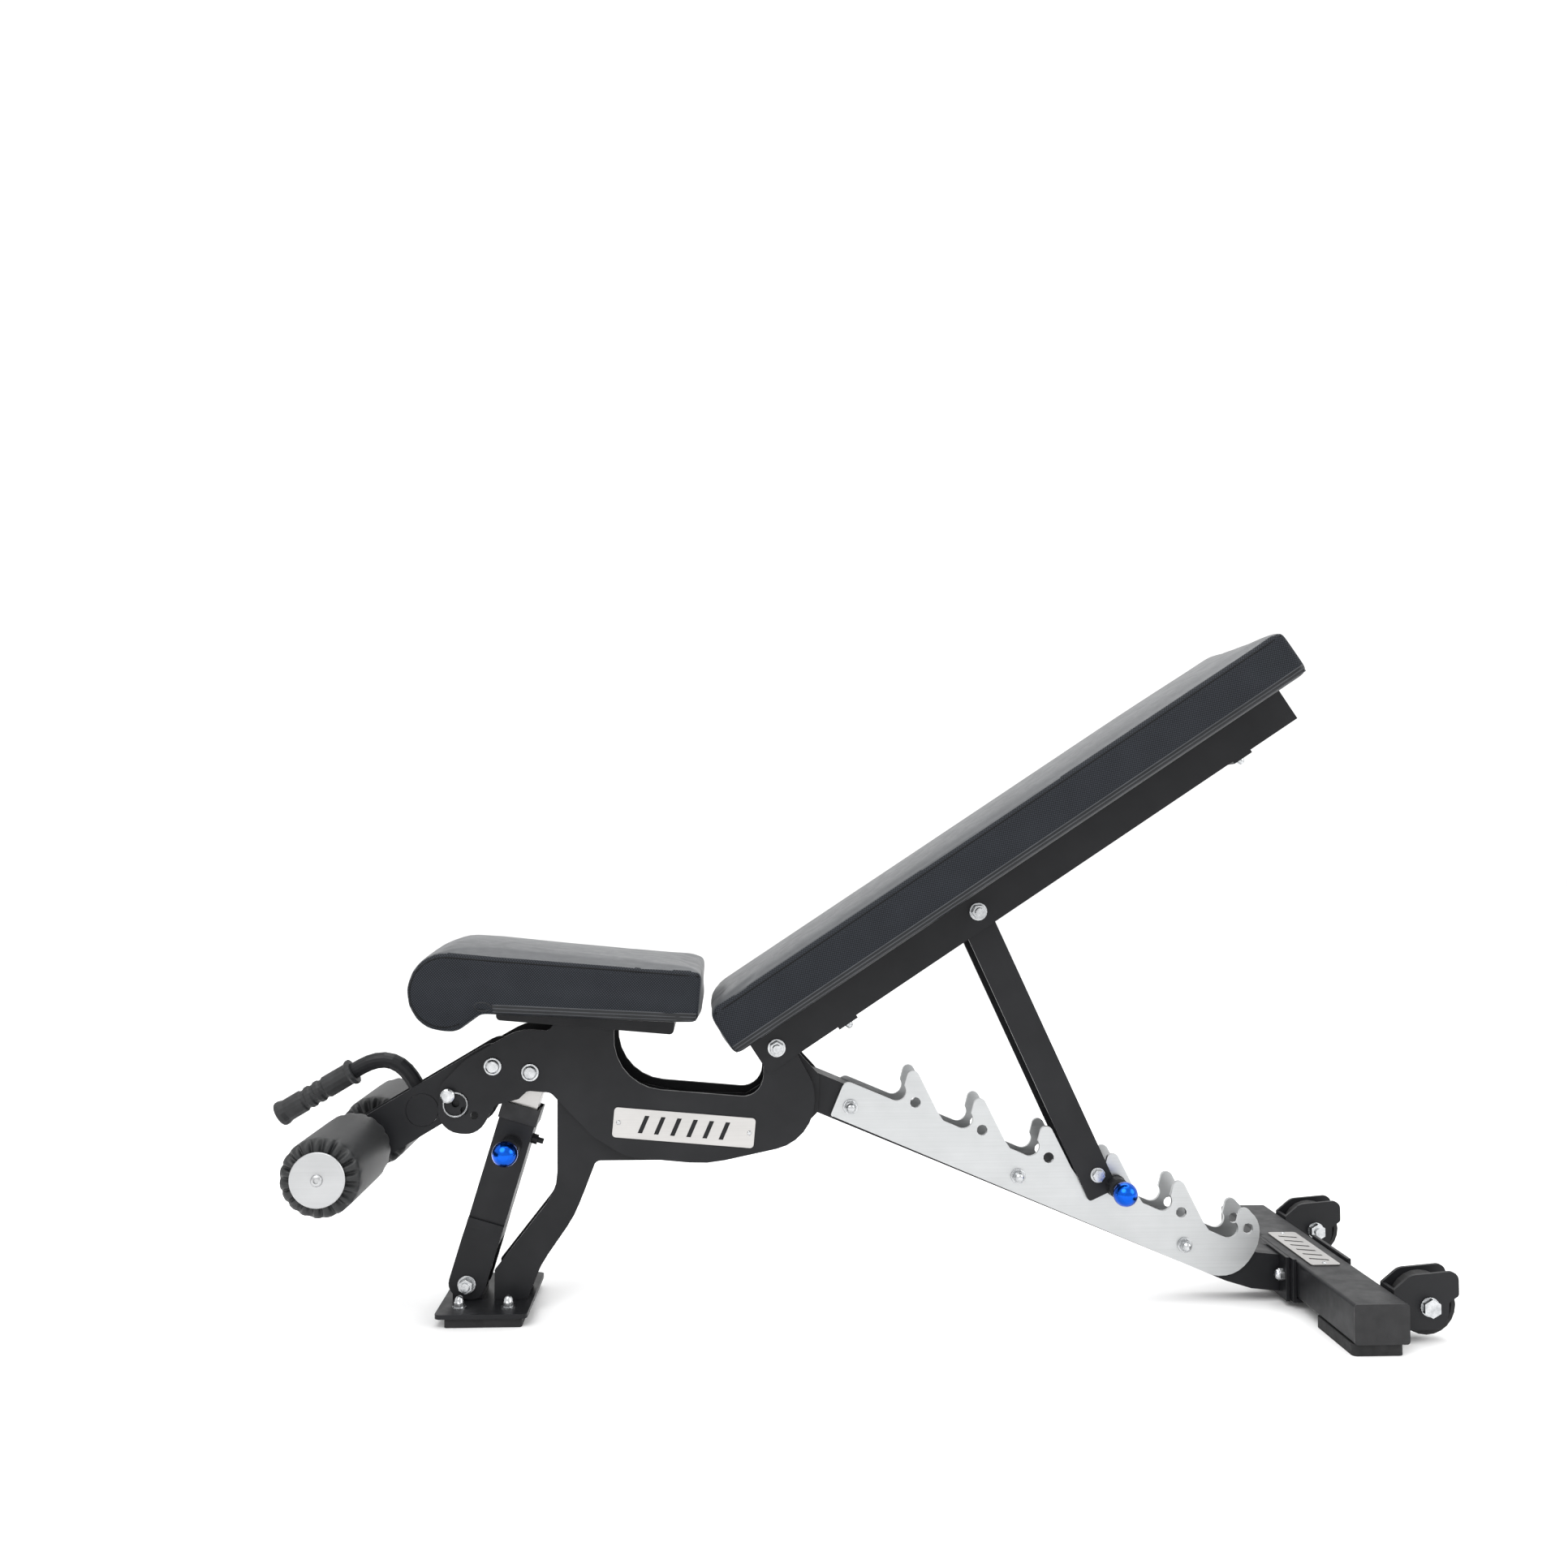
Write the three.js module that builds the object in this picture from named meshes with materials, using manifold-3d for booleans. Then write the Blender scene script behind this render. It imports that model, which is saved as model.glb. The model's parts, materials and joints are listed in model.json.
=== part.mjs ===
// Decline sit up bench: a bent steel spine with a notched ladder, a tilting seat with leg rollers on an
// adjustable arm, a telescoping front post, and a backrest propped by a strut in the ladder's notches.
// Millimetres, +Z up. The leg rollers are at the -X end, the wheels at the +X end, the knobs at -Y.
import * as THREE from "three";
import { mergeVertices } from "three/addons/utils/BufferGeometryUtils.js";
import Module from "manifold-3d";

// General
const GAP = 0.3; // between pieces that touch
const CLEARANCE = 0.4; // between a shank and its bore
const ARC_STEP = 15; // degrees per facet on rounded corners
const ROUND = 24; // facets round a large turned piece
const FACETS = {
  hex: 6, dome: 10, bore: 12, grip: 16, washer: 20, pin: 22, barrel: 26, knob: [18, 12], ring: [6, 20],
};
const OVERLAP = 1; // how far solids that are joined run into each other
const PAST = 5; // how far a cut runs past the piece
const STRAIGHT = 0.1; // left straight between two quarter rounds
const MERGE_WITHIN = 1e-3;
const SIDES = [
  ["left", -1],
  ["right", 1],
];

// Layers of sheet across the bench, as [inner, outer] distance from its centre plane
const LEG_LAYER = [25.3, 31.3];
const STRUT_LAYER = [32, 37];
const ARM_LAYER = [33.5, 39.5];
const SIDE_LAYER = [40, 46];
const BACK_LAYER = [46.5, 51.5];

// Pivots as [x, z], each in the frame of the piece that carries it, and turns in degrees about +Y
const MAIN_HINGE = [70.2, 358.5];
const SEAT_ANGLE = 5;
const BACK_ANGLE = -33.5;
const ARM_PIVOT = [-381, -57];
const ARM_ANGLE = -35.6;
const POST_TOP = [-330, -61];
const POST_FOOT = [-349, 39.5];
const STRUT_TOP = [332.7, 1.1];
const RAIL_START = [172.6, 274.3];
const RAIL_ANGLE = 22.6;

// Fasteners
const M12 = { radius: 6, washerRadius: 12.4, washer: 2.4, hexRadius: 10.2, head: 7.5, nut: 9.5, stud: 3.5 };
const M10 = { radius: 5, washerRadius: 10.4, washer: 2, hexRadius: 8.6, head: 6.4, nut: 7, stud: 0 };
const DOME = { radius: 7, height: 5.5 };
const CAP_HEAD = { flangeRadius: 12.3, flange: 2.6, edge: 1, radius: 9.2, height: 6.5, chamfer: 2 };
const SLEEVE_RADIUS = 11;

// Front foot and leg
const FOOT = { x: [-381.6, -259.9], halfWidth: 92, z: [12, 18], corner: 8 };
const FOOT_PAD = { x: [-369, -267], halfWidth: 88, corner: 4 };
const LUG = { radius: 20, base: 6, ear: [20.8, 26.8] };
const LEG_OUTLINE = [
  [-312, 18.3], [-268, 18.3], [-250, 64, 150], [-204, 130, 150], [-176, 204, 10], [-35, 204, 150],
  [100, 240, 30], [128, 268, 10], [130, 318, 12], [52, 402, 18], [56, 300, 10], [30, 284],
  [-60, 286], [-120, 300], [-229, 318, 15], [-228, 165, 70], [-312, 58],
];
const WEB_OUTLINE = [
  [-273, 18.3], [-256, 64, 150], [-210, 130, 150], [-182, 209, 8], [-36, 209, 150], [97, 244.5, 26],
  [119, 268.4], [112, 271.4], [95, 249.3, 22], [-37, 214, 150], [-186, 214, 12], [-214.8, 132, 150],
  [-261, 66, 150], [-278, 18.3],
];

// Spine and ladder
const TUBE = { half: 25, wall: 3 };
const SPINE = { start: -122, axisHeight: 40, bendRadius: 170, end: 770.4 };
const LADDER = {
  left: -21, bottom: -24.2, footCorner: 3, floor: 30.5, floorCorner: 10,
  firstTip: 63.3, pitch: 100, teeth: 6, endSteps: [6, 8],
};
const POCKET = { back: -12, height: 43.7, radius: 13.2, upTo: 55 };
const TOOTH = {
  tip: [2, 70.3], radius: 8.5, from: 190, to: 49, slopeFoot: [52, 38.2], slopeEnd: [64, 30.5],
};
const LADDER_END = { shoulder: [594, 70], side: [597, 38], belly: [596, -16], foot: [552, -24.2] };
const LOCK_HOLE = { ahead: 17.7, height: 39.3, radius: 7.5, lastAhead: 13, lastHeight: 53.8 };
const LADDER_BOLTS = [0, 251, 502];
const STRUT_POCKET = 3; // the notch that holds the strut

// Rear stabilizer
const FLANGE = { x: [770.7, 776.2], halfWidth: 50, z: [8, 68] };
const CRADLE = { x: [776.5, 857.3], wall: 5, halfWidth: 60, z: [9.5, 68] };
const CRADLE_BOLT = { y: 40, z: 42, nut: 12.6 };
const BEAM = { x: [782, 852], z: [15, 65], halfLength: 237, wall: 3, corner: 4, innerCorner: 1 };
const BEAM_CAP = { thickness: 3.2, plug: 12, plugCorner: 2 };
const BEAM_FOOT = { x: [781, 846], y: [125, 236], height: 14.7, corner: 6 };
const BEAM_BADGE = { x: [794, 835], halfLength: 80, thickness: 1.5, corner: 5 };
const WHEEL = { radius: 38.5, width: 26, middle: 177.5, axle: [898, 47], nutRadius: 12 };
const WHEEL_FACE = {
  hub: 15, hubFoot: 17, recess: 4, recessEnd: 29.5, rim: 31.5, shoulder: 36.5, round: 2.5,
};
const WHEEL_BRACKET = { base: 5, ear: 5, halfWidth: 19.5 };
const BRACKET_OUTLINE = [
  [852.3, 17], [924, 18, 26], [924, 52, 5], [937, 60, 5], [937, 91.5, 11], [875, 86.5, 20], [852.3, 68, 3],
];

// Seat frame
const SIDE_OUTLINE = [
  [-22, 66, 21], [-12, -70.3, 28], [-222, -70.5, 70], [-222, 7, 3], [-304, 7, 4], [-311, -3.5, 8],
  [-350, -3.5, 60], [-418, -50, 60], [-449, -88, 20], [-449, -150.5, 32], [-392, -150.5, 28],
  [-374, -110, 14], [-352, -98, 10], [-330, -86, 12], [-300, -86, 12], [-238, -140, 25],
  [-190, -164, 60], [-80, -165, 160], [62, -122, 66], [57, -48, 60],
];
const INDEX = { radius: 70, bore: 5.5, angles: [37.8, 50, 62.4, 74.8] };
const SEAT_TRAY = { x: [-381, -141], halfWidth: 60, floor: 7.3, wall: 3, deep: 40 };
const SEAT_TRAY_OUTLINE = [
  [-381, 7.3, 6], [-141, 7.3, 6], [-141, 31.2], [-277, 25.4], [-381, 21],
];
const SEAT_OUTLINE = [
  [-491, 98, 50], [-491, -4.4, 50], [-421, -4.4, 20], [-392, 22, 12], [-277, 26], [-138, 32],
  [-108, 35, 8], [-107, 103, 11], [-400, 99.6, 40],
];
const PAD = { halfWidth: 130, edge: 7, edgeSteps: 3, crownSteps: 8 };
const SEAT_CROWN = { height: 11, from: 50, to: 100, peak: -400, reach: 330 };
const SIDE_BADGE = { x: [-212, -19.5], z: [-138.5, -98], thickness: 1.5, corner: 5 };
const BADGE_SLOT = { length: 24, width: 6, lean: 8, spacing: 22, count: 6 };

// Front post, in its own frame: z runs up the post from its foot pivot
const POST_ANGLE = 16.6;
const POST_LENGTH = 299.2;
const OUTER_POST = { z: [67.3, 245] };
const CLEVIS_PROFILE = [
  [-32.8, -24], [-32.8, 60, 8], [-28.7, 73, 8], [-28.7, 86], [-25.3, 86], [-25.3, 67],
  [25.3, 67], [25.3, 86], [28.7, 86], [28.7, 73, 8], [32.8, 60, 8], [32.8, -24],
  [27.2, -24], [27.2, 61], [-27.2, 61], [-27.2, -24],
];
const CLEVIS = { halfWidth: 25, radius: 19, top: 90, reach: 32.8 };
const COLLAR = { half: 26.8, z: [226, 249] };
const INNER_POST = {
  half: 21.5, wall: 2.5, z: [105, 313], topBore: 12, topPlay: 1, holes: [139, 166.5, 194, 221.5],
};
const LATCH = { radius: 5.5, bore: 6, housing: 14, housingEnd: 60, chamfer: [3, 4], neck: 9, neckEnd: 64 };
const POST_LATCH = { at: [2, 194], tip: 22.6, ball: 17.2, ballAt: 82 };
const POST_BOSS = { z: 205, radius: 7, reach: 33, tipRadius: 4, tipReach: 41 };

// Leg roller arm, in its own frame: x runs from the pivot (0) towards the rollers (-)
const ARM = { length: 211, radius: 31, drop: -1 };
const CROSS_TUBE = { at: [-112.4, -2.5], radius: 22, halfLength: 39.9 };
const HANDLE = { radius: 11, height: 90, bend: 55, end: -288.5, steps: 22 };
const GRIP_PROFILE = [
  [11.4, 176], [18, 176], [18, 181], [15.2, 184.5], [15.5, 219], [13.6, 221], [13.6, 225], [15.5, 227],
  [15.5, 233], [13.6, 235], [13.6, 239], [15.5, 241], [15.5, 247], [13.6, 249], [13.6, 253], [15.5, 255],
  [15.5, 280], [17.4, 286], [17.4, 291], [15.6, 293], [0, 293], [0, 289], [11.4, 289], [11.4, 176],
];
const ROLLER = { y: [50, 229], radius: 50, edge: 9, bore: 10.6, axle: 10, collar: 16, collarY: [40, 49.5] };
const ROLLER_CAP = { y: [229.3, 232.3], radius: 35, screw: 7, screwTop: 4, screwEnd: 236.5, chamfer: 1 };
const HITCH = {
  shank: 5, tip: 39.8, neckEnd: 51, head: 9.5, headEnd: 57, slope: 1, chamfer: [2, 1.5],
  bore: 2.4, boreLength: 40, wireY: 48.6,
};
const RING = { radius: 16, wire: 1.2, toCentre: [10.5, -12] };

// Backrest and strut; x runs up the backrest from the main hinge, z down the strut is negative
const CHANNEL = {
  x: [-28, 855], bottom: -23.5, web: 26, top: 31, corner: 3, straps: [100, 760], strap: [30, 5],
};
const BACK_PAD_OUTLINE = [
  [-48, 31.3, 9], [877, 31.3, 9], [877, 100, 11], [-48, 100, 16],
];
const BACK_CROWN = { height: 6, from: 60, to: 100, peak: 415, reach: 900 };
const STRUT_OUTLINE = [
  [-26, -428, 4], [18, -428, 4], [18, 20, 21.5], [-26, 20, 21.5],
];
const STRUT = { web: [13, 18], webZ: [-330, -5], boss: 15, sleeve: 12.4 };
const STRUT_LATCH = { tip: 31.6, ball: 16.5, ballAt: 83 };

// Finishes
const POWDER_COAT = { color: 0x1b1c1e, roughness: 0.5, metalness: 0.35 };
const BRUSHED_STEEL = { color: 0xb9bbbd, roughness: 0.38, metalness: 0.95 };
const ZINC = { color: 0xc6c8ca, roughness: 0.3, metalness: 1 };
const ANODISED_BLUE = { color: 0x1238d6, roughness: 0.25, metalness: 0.8 };
const VINYL = { color: 0x25282c, roughness: 0.6, metalness: 0 };
const FOAM_COVER = { color: 0x141415, roughness: 0.9, metalness: 0 };
const RUBBER = { color: 0x101011, roughness: 0.85, metalness: 0 };
const PLASTIC = { color: 0x161617, roughness: 0.6, metalness: 0 };

const rad = THREE.MathUtils.degToRad;
const wasm = await Module();
wasm.setup();

// Booleans

function solidOf(geometry) {
  const bare = geometry.clone();
  bare.deleteAttribute("uv");
  bare.deleteAttribute("normal");
  const merged = mergeVertices(bare, MERGE_WITHIN);
  const index = merged.index.array;
  const corners = [];
  for (let i = 0; i < index.length; i += 3) {
    const [a, b, c] = index.slice(i, i + 3);
    if (a !== b && b !== c && c !== a) corners.push(a, b, c);
  }
  const vertProperties = merged.attributes.position.array;
  const triVerts = new Uint32Array(corners);
  return new wasm.Manifold(new wasm.Mesh({ numProp: 3, vertProperties, triVerts }));
}

function geometryOf(solid) {
  const made = solid.getMesh();
  const geometry = new THREE.BufferGeometry();
  geometry.setAttribute("position", new THREE.BufferAttribute(made.vertProperties, made.numProp));
  geometry.setIndex(new THREE.BufferAttribute(made.triVerts, 1));
  const faceted = geometry.toNonIndexed();
  faceted.computeVertexNormals();
  return faceted;
}

const union = (...parts) => geometryOf(wasm.Manifold.union(parts.map(solidOf)));
const subtract = (body, ...cuts) => geometryOf(wasm.Manifold.difference([body, ...cuts].map(solidOf)));
const intersect = (...parts) => geometryOf(wasm.Manifold.intersection(parts.map(solidOf)));

// Outlines

// The facets that round one corner [x, y, radius] of an outline
function cornerPoints([x, y, radius = 0], before, after) {
  const corner = new THREE.Vector2(x, y);
  if (radius === 0) return [corner];
  const toBefore = new THREE.Vector2(before[0] - x, before[1] - y).normalize();
  const toAfter = new THREE.Vector2(after[0] - x, after[1] - y).normalize();
  const half = Math.acos(toBefore.dot(toAfter)) / 2;
  const bisector = toBefore.clone().add(toAfter).normalize();
  const centre = corner.clone().addScaledVector(bisector, radius / Math.sin(half));
  const start = corner.clone().addScaledVector(toBefore, radius / Math.tan(half)).sub(centre).angle();
  const turn = -Math.sign(toBefore.cross(toAfter));
  return arcPoints(centre, radius, start, turn * (Math.PI - 2 * half));
}

function arcPoints(centre, radius, start, sweep) {
  const steps = Math.max(2, Math.ceil(Math.abs(sweep) / rad(ARC_STEP)));
  return Array.from({ length: steps + 1 }, (_, i) => {
    const angle = start + (sweep * i) / steps;
    return new THREE.Vector2(centre.x + radius * Math.cos(angle), centre.y + radius * Math.sin(angle));
  });
}

function outline(corners) {
  return corners.flatMap((corner, i) =>
    cornerPoints(corner, corners.at(i - 1), corners[(i + 1) % corners.length]),
  );
}

function rectangle([x0, x1], [y0, y1], radius = 0) {
  return [[x0, y0, radius], [x1, y0, radius], [x1, y1, radius], [x0, y1, radius]];
}

const roundSides = (radius) => (radius < 8 ? 10 : radius < 20 ? 16 : ROUND);

function circlePoints([x, y], radius) {
  const sides = roundSides(radius);
  return Array.from({ length: sides }, (_, i) => {
    const angle = (i * 2 * Math.PI) / sides;
    return new THREE.Vector2(x + radius * Math.cos(angle), y + radius * Math.sin(angle));
  });
}

function shapeOf(points, holes = []) {
  const shape = new THREE.Shape(points);
  shape.holes = holes.map((hole) => new THREE.Path(hole));
  return shape;
}

// Solids

const extrude = (shape, depth) => new THREE.ExtrudeGeometry(shape, { depth, bevelEnabled: false });

// A sheet standing along the bench: its outline is in X and Z, its thickness between two Y values
function upright(points, [low, high], holes = []) {
  return extrude(shapeOf(points, holes), high - low).rotateX(Math.PI / 2).translate(0, high, 0);
}

// A profile in Y and Z carried along X
function along(points, [low, high]) {
  return extrude(shapeOf(points), high - low)
    .rotateX(Math.PI / 2)
    .rotateZ(Math.PI / 2)
    .translate(low, 0, 0);
}

// A flat slab: its outline is in X and Y, its thickness between two heights
function slab(points, [low, high], holes = []) {
  return extrude(shapeOf(points, holes), high - low).translate(0, 0, low);
}

function box([x0, x1], [y0, y1], [z0, z1]) {
  const block = new THREE.BoxGeometry(x1 - x0, y1 - y0, z1 - z0);
  return block.translate((x0 + x1) / 2, (y0 + y1) / 2, (z0 + z1) / 2);
}

// A round bar across the bench at [x, z]
function bar([x, z], radius, [low, high], sides = roundSides(radius)) {
  const rod = new THREE.CylinderGeometry(radius, radius, high - low, sides);
  return rod.translate(x, (low + high) / 2, z);
}

// A turned piece about the Y axis; the profile lists [radius, y] with y rising on its outside
function turned(profile, sides) {
  return new THREE.LatheGeometry(profile.map(([r, y]) => new THREE.Vector2(r, y)), sides);
}

const span = (half) => [-half, half];
const across = (sign, [inner, outer]) => (sign < 0 ? [-outer, -inner] : [inner, outer]);
const mirrored = (geometry, sign) => (sign < 0 ? geometry.rotateZ(Math.PI) : geometry);

// Fasteners, all across the bench

// A bolt with its head at the high end, washers, and a nut at the low end of the grip
function throughBolt(size, [low, high], more = []) {
  const nutFoot = low - size.washer;
  const nutTop = nutFoot - size.nut;
  const headFoot = high + size.washer;
  return union(
    bar([0, 0], size.radius, [nutTop - size.stud, headFoot + size.head / 2]),
    bar([0, 0], size.washerRadius, [nutFoot, low], FACETS.washer),
    bar([0, 0], size.washerRadius, [high, headFoot], FACETS.washer),
    bar([0, 0], size.hexRadius, [nutTop, nutFoot], FACETS.hex),
    bar([0, 0], size.hexRadius, [headFoot, headFoot + size.head], FACETS.hex),
    ...more,
  );
}

// The closed crown of a cap nut standing on y = 0 and rising towards +Y
function dome({ radius, height }) {
  const arc = arcPoints(new THREE.Vector2(0, 0), 1, 0, Math.PI / 2);
  const crown = arc.map(({ x, y }) => [radius * x, height * y]);
  return turned([[0, -OVERLAP], [radius, -OVERLAP], ...crown.slice(0, -1), [0, height]], FACETS.dome);
}

function capNutBolt(size, grip) {
  const end = grip[0] - size.washer - size.nut;
  return throughBolt(size, grip, [dome(DOME).rotateX(Math.PI).translate(0, end, 0)]);
}

// A bolt with a smooth flanged head at both ends
function flangedBolt(half, sleeves) {
  const { flangeRadius, flange, edge, radius, height, chamfer } = CAP_HEAD;
  const head = turned(
    [[0, 0], [flangeRadius, 0], [flangeRadius, flange - edge], [flangeRadius - edge, flange],
      [radius, flange], [radius, height - chamfer], [radius - chamfer, height], [0, height]],
    ROUND,
  );
  return union(
    bar([0, 0], M12.radius, span(half + OVERLAP)),
    head.clone().translate(0, half, 0),
    head.clone().rotateZ(Math.PI).translate(0, -half, 0),
    ...sleeves.map((sleeve) => bar([0, 0], SLEEVE_RADIUS, sleeve)),
  );
}

// A spring plunger with a ball knob, pointing into the bench from the -Y side
function plunger({ tip, ball, ballAt }) {
  return union(
    bar([0, 0], LATCH.radius, [-ballAt, -tip]),
    new THREE.SphereGeometry(ball, ...FACETS.knob).translate(0, -ballAt, 0),
    bar([0, 0], LATCH.neck, [-(ballAt - ball / 2), -LATCH.neckEnd]),
  );
}

// The barrel that guides a plunger, with its foot at the given distance from the centre plane
function latchBarrel([x, z], foot) {
  const { housing, housingEnd, chamfer } = LATCH;
  const shoulder = [housing, housingEnd - chamfer[1]];
  const profile = [
    [0, foot], [housing, foot], shoulder, [housing - chamfer[0], housingEnd], [0, housingEnd],
  ];
  return turned(profile, FACETS.barrel).rotateZ(Math.PI).translate(x, 0, z);
}

// Frames and pieces

const bench = new THREE.Group();
bench.name = "decline_sit_up_bench";

function frame(parent, [x, z], degrees) {
  const group = new THREE.Group();
  group.position.set(x, 0, z);
  group.rotation.y = rad(degrees);
  parent.add(group);
  return group;
}

// A point [x, z] of a frame, seen from the frame that holds it
function outward([x0, z0], degrees, [x, z]) {
  const turn = rad(degrees);
  const [c, s] = [Math.cos(turn), Math.sin(turn)];
  return [x0 + x * c + z * s, z0 - x * s + z * c];
}

// A point [x, z] of the holding frame, seen from inside the frame
function inward([x0, z0], degrees, [x, z]) {
  return outward([0, 0], -degrees, [x - x0, z - z0]);
}

function piece(parent, name, geometry, finish, [x, z] = [0, 0]) {
  const mesh = new THREE.Mesh(geometry, new THREE.MeshStandardMaterial(finish));
  mesh.name = name;
  mesh.position.set(x, 0, z);
  parent.add(mesh);
}

const boltBore = M12.radius + CLEARANCE;

// Front foot

piece(
  bench, "foot_plate",
  slab(outline(rectangle(FOOT.x, span(FOOT.halfWidth), FOOT.corner)), FOOT.z),
  POWDER_COAT,
);
piece(
  bench, "foot_pad",
  slab(outline(rectangle(FOOT_PAD.x, span(FOOT_PAD.halfWidth), FOOT_PAD.corner)), [0, FOOT.z[0] - GAP]),
  RUBBER,
);

function postLug() {
  const [x, z] = POST_FOOT;
  const foot = FOOT.z[1] + GAP;
  const reach = [x - LUG.radius, x + LUG.radius];
  const ear = outline([
    [reach[0], foot], [reach[1], foot],
    [reach[1], z + LUG.radius, LUG.radius - STRAIGHT], [reach[0], z + LUG.radius, LUG.radius - STRAIGHT],
  ]);
  return subtract(
    union(
      box(reach, span(LUG.ear[1]), [foot, foot + LUG.base]),
      ...SIDES.map(([, sign]) => upright(ear, across(sign, LUG.ear))),
    ),
    bar([x, z], boltBore, span(LUG.ear[1] + PAST)),
  );
}
piece(bench, "post_lug", postLug(), POWDER_COAT);
piece(bench, "post_foot_bolt", throughBolt(M12, span(CLEVIS.reach + GAP)), ZINC, POST_FOOT);

// Leg and main hinge

for (const [side, sign] of SIDES) {
  const holes = [circlePoints(MAIN_HINGE, boltBore)];
  const plate = upright(outline(LEG_OUTLINE), across(sign, LEG_LAYER), holes);
  piece(bench, `leg_plate_${side}`, plate, POWDER_COAT);
}
piece(bench, "leg_web", upright(outline(WEB_OUTLINE), span(TUBE.half)), POWDER_COAT);
const hingeSpacer = [LEG_LAYER[1] + GAP, SIDE_LAYER[0] - GAP];
piece(
  bench, "hinge_bolt",
  throughBolt(M12, span(BACK_LAYER[1] + GAP), [
    bar([0, 0], SLEEVE_RADIUS, span(LEG_LAYER[0] - GAP)),
    ...SIDES.map(([, sign]) => bar([0, 0], SLEEVE_RADIUS, across(sign, hingeSpacer))),
  ]),
  ZINC, MAIN_HINGE,
);

// Spine

// The spine's side view for a given half height, lengthened by `extra` at both ends
function spineOutline(half, extra = 0) {
  const bendX = RAIL_START[0] + (RAIL_START[1] - SPINE.axisHeight) / Math.tan(rad(RAIL_ANGLE));
  const miter = half * Math.tan(rad(RAIL_ANGLE) / 2);
  const low = SPINE.axisHeight - half;
  const high = SPINE.axisHeight + half;
  return outline([
    outward(RAIL_START, RAIL_ANGLE, [SPINE.start - extra, -half]),
    [bendX - miter, low, SPINE.bendRadius + half],
    [SPINE.end + extra, low],
    [SPINE.end + extra, high],
    [bendX + miter, high, SPINE.bendRadius - half],
    outward(RAIL_START, RAIL_ANGLE, [SPINE.start - extra, half]),
  ]);
}

const bore = TUBE.half - TUBE.wall;
const railBolt = (s) => outward(RAIL_START, RAIL_ANGLE, [s, 0]);
piece(
  bench, "spine_tube",
  subtract(
    upright(spineOutline(TUBE.half), span(TUBE.half)),
    upright(spineOutline(bore, PAST), span(bore)),
    ...LADDER_BOLTS.map((s) => bar(railBolt(s), boltBore, span(TUBE.half + PAST))),
  ),
  POWDER_COAT,
);

// Ladder

const tipAt = (tooth) => LADDER.firstTip + LADDER.pitch * tooth;

function toothPoints(tooth) {
  const tip = tipAt(tooth);
  const pocket = new THREE.Vector2(tip + POCKET.back, POCKET.height);
  const crest = new THREE.Vector2(tip + TOOTH.tip[0], TOOTH.tip[1]);
  const points = [
    ...arcPoints(pocket, POCKET.radius, rad(-90), rad(90 + POCKET.upTo)),
    ...arcPoints(crest, TOOTH.radius, rad(TOOTH.from), rad(TOOTH.to - TOOTH.from)),
  ];
  if (tooth < LADDER.teeth - 1) {
    points.push(new THREE.Vector2(tip + TOOTH.slopeFoot[0], TOOTH.slopeFoot[1]));
    points.push(new THREE.Vector2(tip + TOOTH.slopeEnd[0], TOOTH.slopeEnd[1]));
  }
  return points;
}

function ladderPoints() {
  const teeth = Array.from({ length: LADDER.teeth }, (_, tooth) => toothPoints(tooth)).flat();
  const { left, bottom, footCorner, floor, floorCorner, endSteps } = LADDER;
  const { shoulder, side, belly, foot } = LADDER_END;
  const end = [shoulder, side, belly, foot].map(([x, y]) => new THREE.Vector2(x, y));
  const upper = new THREE.QuadraticBezierCurve(teeth.at(-1), end[0], end[1]);
  const lower = new THREE.QuadraticBezierCurve(end[1], end[2], end[3]);
  const start = outline([[left, bottom, footCorner], [left, floor, floorCorner], [tipAt(0), floor]]);
  const rounded = [upper.getPoints(endSteps[0]), lower.getPoints(endSteps[1])];
  return [...start.slice(0, -1), ...teeth, ...rounded.flatMap((points) => points.slice(1))];
}

function lockHole(tooth) {
  const last = tooth === LADDER.teeth - 1;
  const { ahead, height, lastAhead, lastHeight } = LOCK_HOLE;
  return last ? [tipAt(tooth) + lastAhead, lastHeight] : [tipAt(tooth) + ahead, height];
}

const rail = frame(bench, RAIL_START, RAIL_ANGLE);
for (const [side, sign] of SIDES) {
  const locks = Array.from({ length: LADDER.teeth }, (_, tooth) => lockHole(tooth));
  const holes = [
    ...LADDER_BOLTS.map((s) => circlePoints([s, 0], boltBore)),
    ...locks.map((at) => circlePoints(at, LOCK_HOLE.radius)),
  ];
  piece(rail, `ladder_${side}`, upright(ladderPoints(), across(sign, LEG_LAYER), holes), BRUSHED_STEEL);
}
LADDER_BOLTS.forEach((s, i) => {
  piece(rail, `ladder_bolt_${i + 1}`, capNutBolt(M10, span(LEG_LAYER[1] + GAP)), ZINC, [s, 0]);
});

// Rear stabilizer

const cradleBolts = SIDES.map(([, sign]) => sign * CRADLE_BOLT.y);
// A cylinder along the bench through the flange and the cradle, at y and the height of the bolts
function boltAlong(radius, [low, high], y) {
  return bar([0, 0], radius, [low, high]).rotateZ(-Math.PI / 2).translate(0, y, CRADLE_BOLT.z);
}
const cradleGrip = [FLANGE.x[0] - PAST, CRADLE.x[0] + CRADLE.wall + PAST];
const cradleBores = () => cradleBolts.map((y) => boltAlong(M10.radius + CLEARANCE, cradleGrip, y));
piece(
  bench, "spine_flange",
  subtract(box(FLANGE.x, span(FLANGE.halfWidth), FLANGE.z), ...cradleBores()),
  POWDER_COAT,
);

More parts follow.
